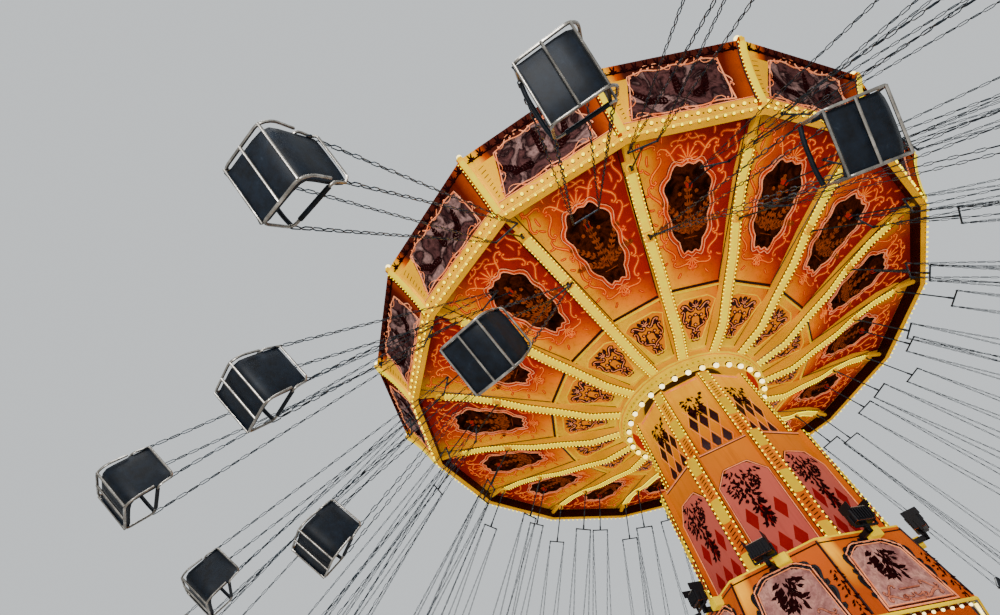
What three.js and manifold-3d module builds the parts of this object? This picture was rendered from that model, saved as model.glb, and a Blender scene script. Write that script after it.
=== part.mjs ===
// Chair swing ride: a lifting, turning tower carries a tilting sixteen-sided canopy with three rows of
// chairs, shown in flight. Millimetres, +Z up, origin at ground level on the tower's axis.
import * as THREE from "three";
import Module from "manifold-3d";

const wasm = await Module();
wasm.setup();

// Driving dimensions
const SIDES = 16;
const RIM_RADIUS = 6250;
const RIM_LOW = 8960;
const RIM_TOP = 9060;
const LIFT = 2500;
const SEAT_HEIGHT = 650;
const GAP = 0.3;
const TOWER_TURN = -10.5;
const TOWER_SIDES = 8;

// Tower
const PLINTH_STEPS = [
  [2900, 0, 180],
  [2500, 180, 360],
];
const PEDESTAL_LOW = 360;
const PEDESTAL_TOP = 4160;
const PEDESTAL_TURN = 0;
const PEDESTAL_BORE = 1600;
const CASING_RADIUS = 1560;
const CASING_LOW = 4100;
const CASING_TOP = 6150;
const DRUM_RADIUS = 1360;
const DRUM_TOP = 7820;
const SHELL = 60;
const PILASTER_WIDTH = 260;
const DECK_LOW = 6950;
const DECK_THICKNESS = 60;
const MAST_RADIUS = 450;
const MAST_LOW = 2900;
const GUIDE_WALL = 70;
const GUIDE_TOP = 3900;

// Tilting head
const TILT_HEIGHT = 7900;
const TRUNNION_RADIUS = 60;
const YOKE_INNER = 500;
const YOKE_THICKNESS = 70;
const YOKE_WIDTH = 400;
const HEAD_DISC_LOW = 8200;
const HEAD_DISC_THICKNESS = 60;
const HEAD_DISC_RADIUS = 1000;

// Canopy
const HUB_OUTER = 1640;
const HUB_INNER = 1500;
const HUB_LOW = 7780;
const HUB_SIDES = 32;
const RIB_WIDTH = 230;
const RIB_UNDERSIDE = [
  [1640, 7990],
  [2400, 8040],
  [3060, 8270],
  [3750, 8480],
  [4300, 8720],
  [5000, 8945],
  [5500, 9040],
  [5690, 9075],
];
const RIB_TIP = 5760;
const CEILING_UNDERSIDE = [
  [1675, 8117],
  [3000, 8390],
  [4300, 8860],
  [5200, 9120],
  [6115, 9230],
  [6195, 9230],
];
const CEILING_THICKNESS = 40;
const FASCIA_LINE = [
  [6250, 9060.3],
  [6395, 9330],
  [6625, 9690],
  [6850, 9990],
  [7095, 10240],
];
const FASCIA_THICKNESS = 60;
const ROOF_REST = 9950;
const ROOF_EDGE = 6700;
const ROOF_SKIN = 25;
const CROWN_RADIUS = 900;
const CROWN_LOW = 10980;
const CROWN_TOP = 11500;
const FINIAL_TOP = 12150;

// Chair hangers: distance of the pivot from the axis, how far the row is turned, what carries it, and
// how many degrees outward its chairs fly
const ROWS = [
  { name: "out", radius: 5650, turn: 0, from: "rib", flight: 42 },
  { name: "mid", radius: 5000, turn: 0.5, from: "ceiling", flight: 41 },
  { name: "in", radius: 4370, turn: 0, from: "rib", flight: 37 },
];
const PIVOT_DROP = 62;
const EYE_RADIUS = 38;
const EYE_HALF = 30.7;
const PLATE_THICKNESS = 12;
const PLATE_WIDTH = 84;
const ROD_RADIUS = 16;
const ROD_LENGTH = 960;
const BAR_HALF = 235;
const CHAIN_SIZE = 16;
const SEAT_WIDTH = 440;
const SEAT_DEPTH = 400;
const PAN_THICKNESS = 36;
const BACK_HEIGHT = 380;
const ARM_HEIGHT = 230;
const FRAME_TUBE = 26;

const rad = (degrees) => (degrees * Math.PI) / 180;
const STEP = 360 / SIDES;

// Helpers between three.js geometry and closed solids
function solid(geometry) {
  const flat = geometry.index ? geometry.toNonIndexed() : geometry;
  const raw = flat.getAttribute("position").array;
  const keys = new Map();
  const points = [];
  const faces = [];
  for (let i = 0; i < raw.length; i += 9) {
    const face = [0, 3, 6].map((k) => {
      const p = [raw[i + k], raw[i + k + 1], raw[i + k + 2]];
      const key = p.map((v) => Math.round(v * 500)).join();
      if (!keys.has(key)) {
        keys.set(key, points.length / 3);
        points.push(...p);
      }
      return keys.get(key);
    });
    if (new Set(face).size === 3) faces.push(...face);
  }
  return new wasm.Manifold(
    new wasm.Mesh({
      numProp: 3,
      vertProperties: new Float32Array(points),
      triVerts: new Uint32Array(faces),
    }),
  );
}

function geometryOf(body) {
  const mesh = body.getMesh();
  const points = [];
  for (let i = 0; i < mesh.numVert; i++) {
    points.push(...mesh.vertProperties.slice(i * mesh.numProp, i * mesh.numProp + 3));
  }
  const geometry = new THREE.BufferGeometry();
  geometry.setAttribute("position", new THREE.Float32BufferAttribute(points, 3));
  geometry.setIndex(Array.from(mesh.triVerts));
  const faceted = geometry.toNonIndexed();
  faceted.computeVertexNormals();
  return faceted;
}

const join = (bodies) => wasm.Manifold.union(bodies);

function box(x0, x1, y0, y1, z0, z1) {
  const geometry = new THREE.BoxGeometry(x1 - x0, y1 - y0, z1 - z0);
  geometry.translate((x0 + x1) / 2, (y0 + y1) / 2, (z0 + z1) / 2);
  return solid(geometry);
}

// A closed profile of [radius, height] points turned about the Z axis; corners lie at multiples of the step
function turned(profile, sides, turn = 0) {
  const points = [...profile, profile[0]].map(([r, z]) => new THREE.Vector2(r, z));
  const geometry = new THREE.LatheGeometry(points, sides);
  geometry.rotateX(Math.PI / 2);
  geometry.rotateZ(rad(turn));
  const body = solid(geometry);
  return body.volume() < 0 ? turned([...profile].reverse(), sides, turn) : body;
}

// A bar of the given section between two points
function bar(from, to, radius, sides = 4) {
  const a = new THREE.Vector3(...from);
  const b = new THREE.Vector3(...to);
  const length = a.distanceTo(b);
  const geometry = new THREE.CylinderGeometry(radius, radius, length, sides);
  geometry.rotateY(Math.PI / sides);
  const turn = new THREE.Quaternion().setFromUnitVectors(
    new THREE.Vector3(0, 1, 0),
    b.clone().sub(a).normalize(),
  );
  geometry.applyQuaternion(turn);
  const middle = a.add(b).multiplyScalar(0.5);
  geometry.translate(middle.x, middle.y, middle.z);
  return solid(geometry);
}

// A side outline of [radius, height] points made a plate of the given width about the XZ plane
function radialPlate(outline, width) {
  const shape = new THREE.Shape(outline.map(([r, z]) => new THREE.Vector2(r, z)));
  const geometry = new THREE.ExtrudeGeometry(shape, { depth: width, bevelEnabled: false });
  geometry.translate(0, 0, -width / 2);
  geometry.rotateX(Math.PI / 2);
  return solid(geometry);
}

const around = (body, degrees) => body.rotate([0, 0, degrees]);

function repeated(make, count, turn = 0) {
  return Array.from({ length: count }, (_, i) => around(make(i), turn + (i * 360) / count));
}

// Height of a line of [radius, height] points at a radius
function heightAt(line, radius) {
  for (let i = 1; i < line.length; i++) {
    const [r0, z0] = line[i - 1];
    const [r1, z1] = line[i];
    if (radius <= r1) return z0 + ((z1 - z0) * (radius - r0)) / (r1 - r0);
  }
  return line[line.length - 1][1];
}

const sectorRadius = (radius) => radius / Math.cos(rad(STEP / 2));

for (const row of ROWS) {
  const carrier = row.from === "rib" ? RIB_UNDERSIDE : CEILING_UNDERSIDE;
  const reach = row.from === "rib" ? row.radius : sectorRadius(row.radius);
  row.pivot = Math.round(heightAt(carrier, reach)) - PIVOT_DROP;
  row.drop = row.pivot - LIFT - SEAT_HEIGHT;
}

// Two plates that hold a hanger's eye, reaching up into their carrier
function hangerPlates(row) {
  const top = row.pivot + PIVOT_DROP + 25;
  const inner = EYE_HALF + GAP;
  return [-1, 1].map((side) => {
    const y = side * (inner + PLATE_THICKNESS / 2);
    return box(
      row.radius - PLATE_WIDTH / 2,
      row.radius + PLATE_WIDTH / 2,
      y - PLATE_THICKNESS / 2,
      y + PLATE_THICKNESS / 2,
      row.pivot - EYE_RADIUS - 6,
      top,
    );
  });
}

function plinth() {
  const steps = PLINTH_STEPS.map(([r, low, top]) =>
    turned([[0, low], [r, low], [r, top], [0, top]], TOWER_SIDES, PEDESTAL_TURN),
  );
  return join(steps);
}

function spotlight() {
  const arm = box(1590, 1880, -25, 25, PEDESTAL_TOP - 110, PEDESTAL_TOP - 60);
  const post = box(1830, 1880, -25, 25, PEDESTAL_TOP - 110, PEDESTAL_TOP + 30);
  const lamp = box(1800, 1960, -150, 150, PEDESTAL_TOP + 10, PEDESTAL_TOP + 190);
  return join([arm, post, lamp]);
}

function pedestal() {
  const outer = [
    [1765, PEDESTAL_TOP],
    [1920, 3130],
    [1800, 3105],
    [1800, 800],
    [1920, 720],
    [1960, 640],
    [1960, PEDESTAL_LOW + GAP],
  ];
  const core = turned(
    [[0, PEDESTAL_LOW + GAP], ...outer.slice().reverse(), [0, PEDESTAL_TOP]],
    TOWER_SIDES,
    PEDESTAL_TURN,
  );
  const bore = PEDESTAL_BORE / Math.cos(rad(180 / 32));
  const hollow = turned([[0, 0], [bore, 0], [bore, 6000], [0, 6000]], 32);
  const lamps = repeated(spotlight, TOWER_SIDES, PEDESTAL_TURN + 22.5);
  return join([core.subtract(hollow), ...lamps.map((lamp) => lamp.subtract(hollow))]);
}

function mastGuide() {
  const inner = MAST_RADIUS + 12;
  const outer = inner + GUIDE_WALL;
  const foot = PEDESTAL_LOW + GAP;
  return turned(
    [
      [inner, foot],
      [outer + 250, foot],
      [outer + 250, foot + 60],
      [outer, foot + 140],
      [outer, GUIDE_TOP],
      [inner, GUIDE_TOP],
    ],
    24,
  );
}

function liftMast() {
  const top = DECK_LOW - GAP;
  const shoe = MAST_RADIUS + 12 - GAP;
  return turned(
    [
      [0, MAST_LOW],
      [MAST_RADIUS, MAST_LOW],
      [MAST_RADIUS, GUIDE_TOP - 260],
      [MAST_RADIUS, top - 160],
      [MAST_RADIUS + 190, top - 60],
      [MAST_RADIUS + 190, top],
      [0, top],
    ],
    24,
  ).add(
    turned(
      [[0, MAST_LOW], [shoe, MAST_LOW], [shoe, MAST_LOW + 200], [0, MAST_LOW + 200]],
      24,
    ),
  );
}

// Octagonal shell with a pilaster on each corner
function octagon(radius, low, top, extra = []) {
  const wall = turned(
    [[radius - 45 - SHELL, low], [radius - 45, low], [radius - 45, top], [radius - 45 - SHELL, top]],
    TOWER_SIDES,
    22.5,
  );
  const face = (radius - 45) * Math.cos(rad(22.5));
  const half = PILASTER_WIDTH / 2;
  const reach = Math.sqrt(radius * radius - half * half);
  const pilaster = () => box(face - 20, reach, -half, half, low, top);
  return join([wall, ...repeated(pilaster, TOWER_SIDES, 22.5), ...extra]);
}

function towerCasing() {
  const ledge = turned(
    [
      [DRUM_RADIUS - 300, CASING_TOP - 50],
      [CASING_RADIUS - 70, CASING_TOP - 50],
      [CASING_RADIUS - 70, CASING_TOP],
      [DRUM_RADIUS - 300, CASING_TOP],
    ],
    TOWER_SIDES,
    22.5,
  );
  return around(octagon(CASING_RADIUS, CASING_LOW, CASING_TOP, [ledge]), TOWER_TURN);
}

function towerDrum() {
  const low = CASING_TOP + GAP;
  const deck = turned(
    [
      [0, DECK_LOW],
      [DRUM_RADIUS - 60, DECK_LOW],
      [DRUM_RADIUS - 60, DECK_LOW + DECK_THICKNESS],
      [0, DECK_LOW + DECK_THICKNESS],
    ],
    TOWER_SIDES,
    22.5,
  );
  const shell = around(octagon(DRUM_RADIUS, low, DRUM_TOP, [deck]), TOWER_TURN);
  const cheeks = [-1, 1].map((side) => {
    const x = side * (YOKE_INNER + YOKE_THICKNESS / 2);
    const half = YOKE_THICKNESS / 2;
    return box(
      x - half,
      x + half,
      -YOKE_WIDTH / 2,
      YOKE_WIDTH / 2,
      DECK_LOW + DECK_THICKNESS - 5,
      TILT_HEIGHT + 120,
    );
  });
  const hole = (TRUNNION_RADIUS + GAP) / Math.cos(rad(180 / 24));
  const bore = bar([-900, 0, TILT_HEIGHT], [900, 0, TILT_HEIGHT], hole, 24);
  return join([shell, ...cheeks.map((cheek) => cheek.subtract(bore))]);
}

function tiltHead() {
  const pin = bar([-600, 0, TILT_HEIGHT], [600, 0, TILT_HEIGHT], TRUNNION_RADIUS, 24);
  const inner = YOKE_INNER - GAP;
  const block = box(-inner, inner, -160, 160, TILT_HEIGHT - 110, HEAD_DISC_LOW + 5);
  const disc = turned(
    [
      [0, HEAD_DISC_LOW],
      [HEAD_DISC_RADIUS, HEAD_DISC_LOW],
      [HEAD_DISC_RADIUS, HEAD_DISC_LOW + HEAD_DISC_THICKNESS],
      [0, HEAD_DISC_LOW + HEAD_DISC_THICKNESS],
    ],
    HUB_SIDES,
  );
  return join([pin, block, disc]);
}

function canopyHub() {
  const plate = HEAD_DISC_LOW + HEAD_DISC_THICKNESS + GAP;
  const shell = turned(
    [
      [0, plate],
      [HUB_INNER, plate],
      [HUB_INNER, HUB_LOW],
      [HUB_OUTER, HUB_LOW],
      [HUB_OUTER, plate + 60],
      [150, plate + 60],
      [150, CROWN_TOP - 60 - GAP],
      [0, CROWN_TOP - 60 - GAP],
    ],
    HUB_SIDES,
  );
  return shell;
}

function rib() {
  const top = [...CEILING_UNDERSIDE].reverse();
  const upper = top
    .filter(([r]) => r < RIB_TIP - 150)
    .map(([r, z]) => [r, z - GAP]);
  const crest = RIB_TIP - 60;
  const tip = [
    [RIB_TIP, heightAt(RIB_UNDERSIDE, RIB_TIP) + 35],
    [RIB_TIP, heightAt(CEILING_UNDERSIDE, RIB_TIP) - 40],
    [crest, heightAt(CEILING_UNDERSIDE, crest) - GAP],
  ];
  const inner = HUB_OUTER + 20;
  const under = [[inner, heightAt(RIB_UNDERSIDE, inner)], ...RIB_UNDERSIDE.slice(1)];
  upper.pop();
  const start = [inner, heightAt(CEILING_UNDERSIDE, inner) - GAP];
  const body = radialPlate([...under, ...tip, ...upper, start], RIB_WIDTH);
  const arm = box(RIB_TIP - 60, RIM_RADIUS - 80, -40, 40, 9090, 9150);
  return join([body, arm]);
}

function canopyFrame() {
  const ring = turned(
    [
      [HUB_OUTER + 0.5, 7985],
      [HUB_OUTER + 60, 7985],
      [HUB_OUTER + 60, 8108],
      [HUB_OUTER + 0.5, 8108],
    ],
    HUB_SIDES,
  );
  const rim = turned(
    [
      [RIM_RADIUS - 120, RIM_LOW],
      [RIM_RADIUS, RIM_LOW],
      [RIM_RADIUS, RIM_TOP],
      [RIM_RADIUS - 50, RIM_TOP],
      [RIM_RADIUS - 50, 9230 - GAP],
      [RIM_RADIUS - 120, 9230 - GAP],
    ],
    SIDES,
  );
  const ribs = repeated(rib, SIDES);
  const plates = ROWS.filter((row) => row.from === "rib").flatMap((row) =>
    repeated(() => join(hangerPlates(row)), SIDES),
  );
  return join([ring, rim, ...ribs, ...plates]);
}

function ceiling() {
  const upper = CEILING_UNDERSIDE.map(([r, z]) => [r, z + CEILING_THICKNESS]).reverse();
  const sheet = turned([...CEILING_UNDERSIDE, ...upper], SIDES);
  const row = ROWS.find((r) => r.from === "ceiling");
  const purlinRadius = sectorRadius(row.radius);
  const base = heightAt(CEILING_UNDERSIDE, purlinRadius);
  const purlin = turned(
    [
      [purlinRadius - 60, base + 25],
      [purlinRadius + 60, base + 25],
      [purlinRadius + 60, base + 150],
      [purlinRadius - 60, base + 150],
    ],
    SIDES,
  );
  const plates = repeated(() => join(hangerPlates(row)), SIDES, STEP / 2);
  return join([sheet, purlin, ...plates]);
}

function fasciaPost() {
  const outer = FASCIA_LINE.map(([r, z]) => [r + 45, z]);
  const inner = FASCIA_LINE.map(([r, z]) => [r - 40, z]).reverse();
  return radialPlate([...outer, ...inner], 130);
}

function fascia() {
  const inner = FASCIA_LINE.map(([r, z]) => [r - FASCIA_THICKNESS, z]);
  inner[0] = [FASCIA_LINE[0][0] - 49.5, FASCIA_LINE[0][1]];
  const edge = heightAt(
    inner.map(([r, z]) => [z, r]),
    ROOF_REST,
  );
  const lower = inner.filter(([, z]) => z < ROOF_REST - 80);
  const upper = inner.filter(([, z]) => z > ROOF_REST);
  const profile = [
    ...FASCIA_LINE,
    ...upper.reverse(),
    [edge, ROOF_REST],
    [ROOF_EDGE - 80, ROOF_REST],
    [ROOF_EDGE - 80, ROOF_REST - 50],
    [edge - 60, ROOF_REST - 60],
    ...lower.reverse(),
  ];
  const posts = repeated(fasciaPost, SIDES);
  return join([turned(profile, SIDES), ...posts]);
}

function roof() {
  const low = ROOF_REST + GAP;
  const slope = (CROWN_LOW + 60 - low - 50) / (ROOF_EDGE - CROWN_RADIUS);
  const flange = ROOF_EDGE - 70;
  return turned(
    [
      [ROOF_EDGE, low],
      [ROOF_EDGE, low + 50],
      [CROWN_RADIUS, CROWN_LOW + 60],
      [CROWN_RADIUS + 110, CROWN_TOP],
      [620, CROWN_TOP + 190],
      [100, CROWN_TOP + 330],
      [150, FINIAL_TOP - 120],
      [0, FINIAL_TOP],
      [0, CROWN_TOP - 60],
      [CROWN_RADIUS - 90, CROWN_TOP - 60],
      [CROWN_RADIUS - 60, CROWN_LOW + 60 - ROOF_SKIN + 60 * slope],
      [flange, low + 50 - ROOF_SKIN + 70 * slope],
      [flange, low],
    ],
    SIDES,
  );
}

// The outline of [x, z] points made a plate between two y values
function sidePlate(outline, y0, y1) {
  const shape = new THREE.Shape(outline.map(([x, z]) => new THREE.Vector2(x, z)));
  const geometry = new THREE.ExtrudeGeometry(shape, { depth: y1 - y0, bevelEnabled: false });
  geometry.rotateX(Math.PI / 2);
  geometry.translate(0, y1, 0);
  return solid(geometry);
}

// One chair about its pivot, hanging straight down, facing +X, outward +Y
function chair(row) {
  const seat = -row.drop;
  const half = SEAT_WIDTH / 2;
  const front = SEAT_DEPTH / 2;
  const rear = -SEAT_DEPTH / 2;
  const arm = seat + ARM_HEIGHT;
  const top = seat + BACK_HEIGHT;
  const tube = FRAME_TUBE / 2;
  const recline = 40;
  const eye = bar([-EYE_HALF, 0, 0], [EYE_HALF, 0, 0], EYE_RADIUS, 6);
  const tip = BAR_HALF + 15;
  const hanger = sidePlate(
    [
      [-ROD_RADIUS, 0],
      [-ROD_RADIUS, ROD_RADIUS - ROD_LENGTH],
      [-tip, ROD_RADIUS - ROD_LENGTH],
      [-tip, -ROD_RADIUS - ROD_LENGTH],
      [tip, -ROD_RADIUS - ROD_LENGTH],
      [tip, ROD_RADIUS - ROD_LENGTH],
      [ROD_RADIUS, ROD_RADIUS - ROD_LENGTH],
      [ROD_RADIUS, 0],
    ],
    -ROD_RADIUS,
    ROD_RADIUS,
  );
  const shell = sidePlate(
    [
      [front, seat],
      [rear, seat],
      [rear - recline, top],
      [rear - recline - 30, top],
      [rear - 34, seat - PAN_THICKNESS],
      [front, seat - PAN_THICKNESS],
    ],
    -half,
    half,
  );
  const frame = [
    [rear - 50, arm - tube],
    [front - tube, arm - tube],
    [front - tube, seat - 20],
    [front + tube, seat - 20],
    [front + tube, arm + tube],
    [rear - 50, arm + tube],
  ];
  const sides = [-1, 1].flatMap((side) => {
    const y = side * (half + tube - 2);
    return [
      sidePlate(frame, y - tube, y + tube),
      bar([BAR_HALF, 0, -ROD_LENGTH], [front, y, arm], CHAIN_SIZE / 2, 3),
      bar([-BAR_HALF, 0, -ROD_LENGTH], [rear - 52, side * (half - 14), top - 12], CHAIN_SIZE / 2, 3),
    ];
  });
  const guard = box(front - 9, front + 9, -half, half, arm - 9, arm + 9);
  return join([eye, hanger, shell, ...sides, guard]);
}

const COLOURS = {
  stone: ["#8d8577", 0.85, 0],
  orange: ["#d9661a", 0.45, 0.1],
  salmon: ["#d4574a", 0.5, 0.05],
  gold: ["#f2a51d", 0.35, 0.35],
  steel: ["#3b3f45", 0.45, 0.8],
  red: ["#a83210", 0.55, 0.05],
  brown: ["#4a3038", 0.6, 0.05],
  canvas: ["#b0402a", 0.8, 0],
  seat: ["#1d2026", 0.5, 0.4],
};

function mesh(name, body, colour) {
  const [color, roughness, metalness] = COLOURS[colour];
  const made = new THREE.Mesh(
    geometryOf(body),
    new THREE.MeshStandardMaterial({ color, roughness, metalness }),
  );
  made.name = name;
  return made;
}

const ride = new THREE.Group();
ride.add(
  mesh("base_plinth", plinth(), "stone"),
  mesh("pedestal", pedestal(), "orange"),
  mesh("mast_guide", mastGuide(), "steel"),
  mesh("lift_mast", liftMast(), "steel"),
  mesh("tower_casing", towerCasing(), "salmon"),
  mesh("tower_drum", towerDrum(), "gold"),
  mesh("tilt_head", tiltHead(), "steel"),
  mesh("canopy_hub", canopyHub(), "gold"),
  mesh("canopy_frame", canopyFrame(), "gold"),
  mesh("ceiling", ceiling(), "red"),
  mesh("fascia", fascia(), "brown"),
  mesh("roof", roof(), "canvas"),
);

for (const row of ROWS) {
  const hanging = geometryOf(chair(row));
  for (let i = 0; i < SIDES; i++) {
    const azimuth = (i + row.turn) * STEP;
    const [color, roughness, metalness] = COLOURS.seat;
    const swung = new THREE.Mesh(
      hanging.clone(),
      new THREE.MeshStandardMaterial({ color, roughness, metalness }),
    );
    swung.name = `chair_${row.name}_${String(i + 1).padStart(2, "0")}`;
    swung.rotation.x = rad(row.flight);
    const hanger = new THREE.Group();
    hanger.position.set(
      row.radius * Math.cos(rad(azimuth)),
      row.radius * Math.sin(rad(azimuth)),
      row.pivot,
    );
    hanger.rotation.z = rad(azimuth - 90);
    hanger.add(swung);
    ride.add(hanger);
  }
}

export default ride;
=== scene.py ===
# Chair swing ride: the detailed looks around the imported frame. Metres, +Z up, origin at ground level.
import functools
import math
import random

import bmesh
import bpy
from mathutils import Matrix, Vector


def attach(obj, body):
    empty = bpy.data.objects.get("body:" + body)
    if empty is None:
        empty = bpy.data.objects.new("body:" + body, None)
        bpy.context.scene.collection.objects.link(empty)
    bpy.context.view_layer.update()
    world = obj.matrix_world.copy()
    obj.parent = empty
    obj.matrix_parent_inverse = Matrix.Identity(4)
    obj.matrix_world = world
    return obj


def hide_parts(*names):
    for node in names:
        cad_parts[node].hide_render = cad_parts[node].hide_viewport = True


bl_info = {
    "name": "Chair Swing Ride",
    "version": (1, 0, 0),
    "blender": (4, 5, 0),
    "location": "View3D > Sidebar > Swing Ride",
    "description": "Dresses the packed frame of a chair swing ride",
    "category": "Object",
}

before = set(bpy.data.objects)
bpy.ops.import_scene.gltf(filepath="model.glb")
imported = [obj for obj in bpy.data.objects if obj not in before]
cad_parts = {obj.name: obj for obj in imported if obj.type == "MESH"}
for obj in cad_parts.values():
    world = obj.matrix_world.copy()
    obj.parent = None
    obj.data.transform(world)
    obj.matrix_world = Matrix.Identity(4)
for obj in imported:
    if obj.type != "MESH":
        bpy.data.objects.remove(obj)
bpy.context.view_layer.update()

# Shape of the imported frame
SIDES = 16
STEP = math.radians(360 / SIDES)
HALF = STEP / 2
COS = math.cos(HALF)
TAN = math.tan(HALF)
UP = Vector((0, 0, 1))
RIB_UNDERSIDE = [
    (1.66, 7.992), (2.40, 8.040), (3.06, 8.270), (3.75, 8.480),
    (4.30, 8.720), (5.00, 8.945), (5.50, 9.040), (5.69, 9.075),
]
CEILING_UNDERSIDE = [
    (1.675, 8.117), (3.000, 8.390), (4.300, 8.860), (5.200, 9.120), (6.115, 9.230), (6.195, 9.230),
]
FASCIA_LINE = [(6.250, 9.0603), (6.395, 9.330), (6.625, 9.690), (6.850, 9.990), (7.095, 10.240)]
BOARD_LOW, BOARD_TOP = 9.06, 10.24
PANEL_JOINT = 3.12
CEILING_REACH = 6.15
RIM_RADIUS = 6.25
RIM_LOW = 8.96
TOWER_SIDES = 8
TOWER_HALF = math.pi / TOWER_SIDES
TOWER_TURN = math.radians(-10.5)
DRUM_FACE = 1.315 * math.cos(TOWER_HALF)
DRUM_CORNER = 1.3538
DRUM_LOW, DRUM_TOP = 6.150, 7.820
CASING_FACE = 1.515 * math.cos(TOWER_HALF)
CASING_CORNER = 1.5546
CASING_LOW, CASING_TOP = 4.180, 6.150
PEDESTAL_TOP = 4.160
PEDESTAL_LINE = [
    (1.960, 0.360), (1.960, 0.640), (1.920, 0.720), (1.800, 0.800),
    (1.800, 3.105), (1.920, 3.130), (1.765, PEDESTAL_TOP),
]
LAMP_BOX_FIRST, LAMP_BOX_PITCH = 4.23, 0.88
ROOF_EDGE, ROOF_LOW = 6.7, 10.0
ROOF_SLOPE = (11.04 - ROOF_LOW) / (ROOF_EDGE - 0.9)
# Chair rows: distance and height of the pivots, turn in sectors, height of the seat under the pivot,
# and the angle at which the row flies
ROWS = {
    "out": (5.650, 0.0, 9.006, 5.856, 42),
    "mid": (5.000, 0.5, 9.029, 5.879, 41),
    "in": (4.370, 0.0, 8.681, 5.531, 37),
}
ROD_LENGTH = 0.960
BAR_HALF = 0.235
ARM_HEIGHT = 0.230
ARM_SIDE = 0.231


# Colours and nodes
def linear(shade):
    """Linear RGBA of an sRGB hex colour."""
    parts = [int(shade[i : i + 2], 16) / 255 for i in (1, 3, 5)]
    return tuple(c / 12.92 if c <= 0.04045 else ((c + 0.055) / 1.055) ** 2.4 for c in parts) + (1.0,)


def rgba(shade):
    """Linear RGBA of a hex colour, a grey or a colour property."""
    if isinstance(shade, str):
        return linear(shade)
    return (shade, shade, shade, 1.0) if isinstance(shade, float) else tuple(shade)


def add(tree, kind, inputs=None, stops=None, **settings):
    """Adds a node to a tree with its settings, ramp stops, values and links."""
    made = tree.nodes.new(kind)
    for name, value in settings.items():
        setattr(made, name, value)
    if stops:
        band = made.color_ramp.elements
        while len(band) < len(stops):
            band.new(1.0)
        for element, (place, shade) in zip(band, stops):
            element.position = place
            element.color = rgba(shade)
    feed(tree, made, inputs or {})
    return made


def feed(tree, node, inputs):
    """Sets the inputs of a node, or links them to a socket or to the first output in use of a node."""
    for key, value in inputs.items():
        socket = node.inputs[key]
        if isinstance(value, bpy.types.Node):
            value = next(output for output in value.outputs if output.enabled)
        if isinstance(value, bpy.types.NodeSocket):
            tree.links.new(value, socket)
        else:
            socket.default_value = rgba(value) if socket.type == "RGBA" else value


# Geometry Nodes trees
def group(name, sockets):
    """An empty tree with a geometry input and output and the named inputs."""
    tree = bpy.data.node_groups.new(name, "GeometryNodeTree")
    tree.interface.new_socket("Geometry", in_out="INPUT", socket_type="NodeSocketGeometry")
    for label, kind in sockets:
        tree.interface.new_socket(label, in_out="INPUT", socket_type="NodeSocket" + kind)
    tree.interface.new_socket("Geometry", in_out="OUTPUT", socket_type="NodeSocketGeometry")
    return tree


def repeat_tree():
    """Copies of the incoming mesh in equal steps around the Z axis."""
    tree = group("Repeat around the axis", [("Copies", "Int"), ("Material", "Material")])
    given = add(tree, "NodeGroupInput")
    spot = add(tree, "GeometryNodePoints", {"Count": given.outputs["Copies"]})
    index = add(tree, "GeometryNodeInputIndex")
    share = add(tree, "ShaderNodeMath", {0: index, 1: given.outputs["Copies"]}, operation="DIVIDE")
    turn = add(tree, "ShaderNodeMath", {0: share, 1: math.tau}, operation="MULTIPLY")
    angle = add(tree, "ShaderNodeCombineXYZ", {"Z": turn})
    values = {"Points": spot, "Instance": given.outputs["Geometry"], "Rotation": angle}
    copies = add(tree, "GeometryNodeInstanceOnPoints", values)
    real = add(tree, "GeometryNodeRealizeInstances", {"Geometry": copies})
    values = {"Geometry": real, "Material": given.outputs["Material"]}
    done = add(tree, "GeometryNodeSetMaterial", values)
    add(tree, "NodeGroupOutput", {"Geometry": done})
    return tree


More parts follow.
